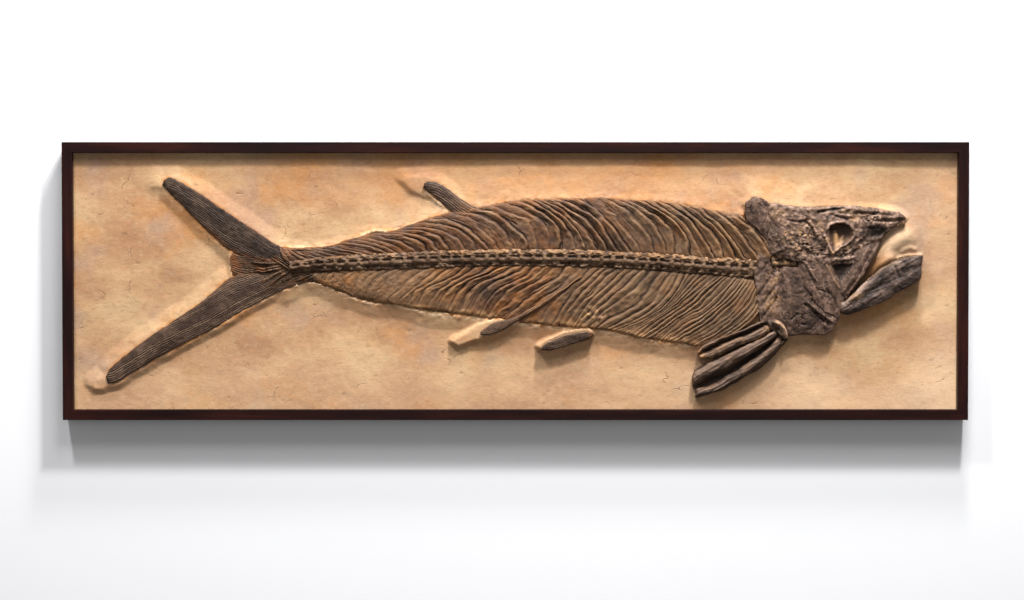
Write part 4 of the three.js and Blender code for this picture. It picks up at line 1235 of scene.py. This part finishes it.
def skull():
    """The skull roof, with painted shade in its hollows, in the eye's opening and under its brow, cream
    flecks and a chalky wedge in the eye, and a few teeth under the snout."""
    points, x, z, s, t = blade(SKULL, (300, 140), lambda x: 4 + 3 * smooth(1780, 1860, x), 24, (201, 202))
    height, holes, cracks = skull_height(x, z, s, t)
    eye, wedge = eye_socket(x, z)
    hollow = blur(height, 4, 4) - height
    crevice = np.clip(0.13 * np.clip(hollow, 0, 6) + 0.4 * holes + 0.45 * cracks, 0, 0.8)
    crevice = np.maximum(crevice, patches(x, z, SKULL_DARK, 209, 18)) * (1 - eye)
    brow = smooth(0.0, 0.25, eye) * smooth(0.85, 0.4, eye) * smooth(190, 250, z - 0.35 * (x - 1600))
    mottle = eye * smooth(0.1, 0.6, noise(x, z, 20, 210, 3)) * smooth(1605, 1625, x)
    # painted shade under the brow and inside the eye's opening
    crevice = strongest(crevice, 0.85 * brow, 0.7 * eye * (1 - wedge), 0.6 * mottle)
    # paler crests: painted highlight on convex parts, and pale flecks at random
    crest = np.clip(0.14 * np.clip(-hollow, 0, 5) + 0.55 * smooth(0.0, 0.7, noise(x, z, 20, 207, 4)), 0, 0.75)
    ring = bell(line_distance(x, z, ORBIT)[0], 0, 12) * smooth(170, 200, z)
    crest = crest * (1 - bowl(x, z, SNOUT_HOLLOW, 26)) * (1 - eye)
    crest = crest * (1 - 0.75 * ring * smooth(0.3, -0.3, noise(x, z, 26, 214, 3)))
    corner = bell(line_distance(x, z, EYE_CORNER)[0], 0, 6) * smooth(-0.6, 0.1, noise(x, z, 16, 215, 3))
    chalk = np.clip(0.7 * wedge * smooth(0.1, 0.6, eye) + 0.7 * corner, 0, 1)
    chalk = np.maximum(chalk, patches(x, z, SKULL_CREAM, 211, 13))
    stain = np.clip(0.75 * eye + 0.3 * smooth(0.2, 0.8, noise(x, z, 60, 208, 3)), 0, 1)
    roof = solid(points, height, FACE + SEATING, crevice=crevice, crest=crest, chalk=chalk, stain=stain)
    snout_teeth = teeth([(1896, 284), (1934, 302)], 5, 20, 6, FACE + 46, 211, up=-1.0)
    piece("skull_roof", [roof, *snout_teeth], HEAD_BONE, "skull")


def shoulder_dirt(x, z):
    """Earth left on the shoulder, behind the gill cover."""
    return patches(x, z, [(1275, -105, 46, 66, 0.1, 0.5, 0.1), (1275, 14, 40, 40, 0, 0.3, 0)], 221, 14)


def neck_bones():
    """The shoulder girdle and the nape plate, with their long grooves."""
    grooves = [
        ([(1262, 14), (1228, -36), (1200, -76)], 7, -5), ([(1292, -20), (1250, -80), (1206, -140)], 7, -5),
        ([(1296, -84), (1262, -130), (1222, -184)], 7, -5), ([(1250, 90), (1220, 50), (1196, 30)], 7, -4),
        ([(1300, 30), (1290, -60)], 12, 4),
    ]
    plate("shoulder_bone", "shoulder_girdle", SHOULDER_GIRDLE, (80, 64), 222, rim=44, crown=50, marks=grooves,
          rough=2.4, pits=1, chalk=shoulder_dirt, stain=shoulder_dirt)
    marks = [([(1180, 400), (1190, 330), (1240, 250)], 14, 4),
             ([(1228, 404), (1252, 340), (1290, 260)], 9, -5)]
    plate("nape_bone", "nape_plate", NAPE_PLATE, (80, 70), 231, rim=46, crown=52, marks=marks, rough=1.2,
          chalk=lambda x, z: patches(x, z, [(1284, 330, 26, 40, 0.2, 0.45, 0.4)], 235))


def gill_plate():
    """The gill cover, pitted low down, grooved towards the throat, with painted shade in front and below."""
    marks = [
        ([(1330, 50), (1350, -60), (1345, -180), (1360, -262)], 14, 4),
        ([(1450, -105), (1500, -150), (1566, -198)], 6, 8),
        ([(1438, -116), (1490, -166), (1552, -214)], 7, -7),
        ([(1470, -96), (1530, -146), (1590, -172)], 7, -5),
    ]
    shade = [(1420, -60, 50, 104, 0.45, 0.64, 0.75), (1430, -180, 130, 84, 0, 0.6, 0.7),
             (1330, 0, 40, 60, 0, 0.3, 0.5)]
    plate("gill_plate", "gill_cover", GILL_COVER, (120, 100), 241, rim=46, crown=57, marks=marks, rough=2.2,
          pits=5, pitted=lambda x, z: spot(x, z, 1450, -192, 130, 52),
          carved=lambda x, z: 9 * smooth(1345, 1298, x), crevice=lambda x, z: patches(x, z, shade, 246))


CHEEK_RIDGE = [(1535, 92), (1560, 40), (1578, 6), (1602, -30)]


def window_shade(x, z):
    """Painted shade in the window between the cheek and the upper jaw."""
    return 0.8 * bowl(x, z, CHEEK_WINDOW, 12)


def ridge_dust(x, z):
    """Chalk along the cheek's ridge, broken up by seeded noise."""
    return 0.25 * bell(line_distance(x, z, CHEEK_RIDGE)[0], 0, 5) * smooth(-0.4, 0.3, noise(x, z, 18, 256, 3))


def cheek_and_maxilla():
    """The cheek plate and the upper jaw bone, which share the window between them."""
    marks = [
        (CHEEK_RIDGE, 5, 4), ([(1450, 60), (1500, -60)], 30, 3),
        ([(1440, 90), (1480, 20), (1500, -12)], 5, 4),
        ([(1428, 84), (1468, 10), (1520, -90)], 6, -4), ([(1540, -40), (1580, -90), (1592, -130)], 6, -5),
        ([(1500, -40), (1560, -60)], 6, -4),
    ]
    plate("cheek_bone", "cheek_plate", CHEEK_PLATE, (100, 100), 251, rim=57, crown=63, marks=marks, rough=1.1,
          carved=lambda x, z: 15 * bowl(x, z, CHEEK_WINDOW, 22) + 9 * smooth(1440, 1400, x),
          crevice=window_shade, chalk=ridge_dust)
    marks = [([(1618, -60), (1670, 20), (1716, 110), (1760, 190)], 7, 4),
             ([(1644, -50), (1694, 20), (1740, 110), (1780, 180)], 6, -4)]
    plate("maxilla", "upper_jaw", UPPER_JAW, (100, 44), 261, rim=58, crown=68, marks=marks, rough=2.6, pits=1,
          carved=lambda x, z: 14 * bowl(x, z, CHEEK_WINDOW, 22) + 16 * smooth(150, 225, z),
          crevice=window_shade)


def lower_jaw():
    """The lower jaw: a bar with a thick rounded upper edge, paler in its own tone and with painted highlight,
    a trough along the middle painted dark as shade, a lower swell, streaked lengthways, and small teeth along
    its top."""
    points, x, z, s, t = blade(LOWER_JAW, (130, 60), 4, 40, (271, 272))
    streak = noise(x * 0.9 + z * 0.45, z * 0.9 - x * 0.45, 12, 273, 4, 5.0)
    trough = bell(t, 0.55, 0.17) * smooth(0.1, 0.35, s)
    height = FACE + 50 + 24 * domed(s, t, 0.32, 14) + 2.0 * streak - 8 * trough
    height = height + 1.8 * noise(x, z, 12, 274, 3)
    height = height + strokes(x, z, [([(1620, -100), (1680, -76)], 14, 7), ([(1880, 70), (1900, 20)], 7, -5)])
    hollow = blur(height, 4, 3) - height
    # painted shade in hollows, in the trough and in the hole at the jaw's root, and darker low on the bar
    crevice = np.clip(0.15 * np.clip(hollow, 0, 5) + 0.62 * trough + 0.85 * spot(x, z, 1624, -92, 18, 14)
                      + 0.25 * smooth(0.4, 0.1, t), 0, 0.85)
    # painted highlight along the upper edge, with paler streaks
    upper = smooth(0.66, 0.86, t) * smooth(1930, 1840, x)
    crest = np.clip(0.62 * upper + 0.25 * smooth(0.1, 0.8, streak) + 0.1 * smooth(0.26, 0.1, t), 0, 0.6)
    crest = crest * smooth(-0.7, 0.5, noise(x, z, 46, 276, 4))
    chalk = 0.3 * spot(x, z, 1690, -74, 42, 17, 0.4) + 0.1 * smooth(0.9, 1.0, t)
    bar = solid(points, height, FACE + SEATING, crevice=crevice, crest=crest, chalk=np.clip(chalk, 0, 1))
    row = [(1745, 4), (1800, 46), (1862, 86), (1925, 116), (1965, 122)]
    piece("jaw_lower", [bar, *teeth(row, 19, 12, 5, FACE + 62, 275)], JAW_BONE, "lower_jaw")


# ---- frame, wall, lights and camera, in metres ----

WALL_Y = 0.004  # just behind the panel's back
STAGE_SIDE = 9.0  # half the width of the wall and the floor
WALL_TOP = 6.0
FLOOR_Z = -1.9
# Lights: name, place, what it points at, diameter and power.
LIGHTS = [
    ("key", (2.6, -4.1, 8.8), (0, 0, 0), 0.9, 1225), ("broad_low", (0.8, -5.2, 6.6), (0, 0, 0), 3.0, 285),
    ("high", (1.7, -2.45, 9.6), (0, 0, 0), 1.2, 980), ("left_spot", (-3.4, -4.2, 7.8), (0, 0, 0), 0.9, 480),
    ("front_fill", (0, -8, 1.0), (0, 0, 0), 3.0, 30), ("back_fill", (-3, 7, 3.5), (0, 0, 0), 2.5, 500),
    ("side_fill", (8, 0.8, 1.5), (2.2, 0, 0), 2.0, 240),
]
SKY_STRENGTH = 0.2
LENS, SENSOR = 70, 36  # mm
CAMERA_PLACE = (-0.017, -9.99, 0.12)
CAMERA_AIM = (-0.017, -0.11, -0.093)


def frame_woods():
    """Gives the CAD rails and board their wood. Grain runs along each rail."""
    along, upright, board = mahogany("mahogany_rail", "x"), mahogany("mahogany_stile", "z"), hardboard()
    looks = {"frame_top_rail": along, "frame_bottom_rail": along, "frame_left_stile": upright,
             "frame_right_stile": upright, "back_board": board}
    for name, material in looks.items():
        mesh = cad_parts[name].data
        mesh.materials.clear()
        mesh.materials.append(material)


def plain_plane(name, corners, material, unseen_by):
    """One flat backdrop face, which takes no part in the kinds of light ray in unseen_by."""
    mesh = bpy.data.meshes.new(name)
    mesh.from_pydata(corners, [], [(0, 1, 2, 3)])
    mesh.materials.append(material)
    obj = bpy.data.objects.new(name, mesh)
    bpy.context.scene.collection.objects.link(obj)
    for kind in unseen_by:
        setattr(obj, "visible_" + kind, False)


def stage():
    """A plain pale wall behind the panel that shows only from its front, and a pale floor below."""
    wall_paint, tree, shader = new_material("wall_paint")
    coat(tree, shader, "#f4f4f6", 0.9)
    surface = shader.outputs[0].links[0].to_socket
    clear = add(tree, "ShaderNodeBsdfTransparent")
    behind = add(tree, "ShaderNodeNewGeometry", output="Backfacing")
    both = add(tree, "ShaderNodeMixShader", {0: behind, 1: shader.outputs[0], 2: clear})
    tree.links.new(both, surface)
    floor_paint, floor_tree, floor_shader = new_material("floor_paint")
    coat(floor_tree, floor_shader, "#e9e9ea", 0.8)
    side = STAGE_SIDE
    wall = [(-side, WALL_Y, FLOOR_Z), (side, WALL_Y, FLOOR_Z),
            (side, WALL_Y, WALL_TOP), (-side, WALL_Y, WALL_TOP)]
    plain_plane("wall", wall, wall_paint, ("shadow", "diffuse", "glossy", "transmission"))
    ground = [(-side, -side, FLOOR_Z), (side, -side, FLOOR_Z), (side, side, FLOOR_Z), (-side, side, FLOOR_Z)]
    plain_plane("floor", ground, floor_paint, ("diffuse", "glossy"))


def aimed(name, data, place, aim):
    """Puts a light or camera at a place, turned so that it looks at its aim."""
    obj = bpy.data.objects.new(name, data)
    bpy.context.scene.collection.objects.link(obj)
    obj.location = place
    obj.rotation_euler = (Vector(aim) - Vector(place)).to_track_quat("-Z", "Y").to_euler()
    return obj


def lights():
    """Round gallery lights: three high on the right and one on the left, weak fills in front, behind and at
    the side, and an even pale sky."""
    for name, place, aim, size, power in LIGHTS:
        data = bpy.data.lights.new(name, "AREA")
        data.shape = "DISK"
        data.size = size
        data.energy = power
        aimed(name, data, place, aim)
    world = bpy.data.worlds.new("world")
    bpy.context.scene.world = world
    world.use_nodes = True
    background = world.node_tree.nodes["Background"]
    background.inputs["Color"].default_value = linear("#ffffff")
    background.inputs["Strength"].default_value = SKY_STRENGTH


def camera():
    """A 70 mm lens 9.9 m from the panel, a little above its centre and tilted slightly down."""
    data = bpy.data.cameras.new("camera")
    data.lens = LENS
    data.sensor_width = SENSOR
    bpy.context.scene.camera = aimed("camera", data, CAMERA_PLACE, CAMERA_AIM)


camera()
lights()
stage()
frame_woods()
slab()
upper_flank()
lower_flank()
backbone()
tail()
small_fins()
pectoral()
skull()
neck_bones()
gill_plate()
cheek_and_maxilla()
lower_jaw()

bpy.context.scene.view_settings.view_transform = "Standard"
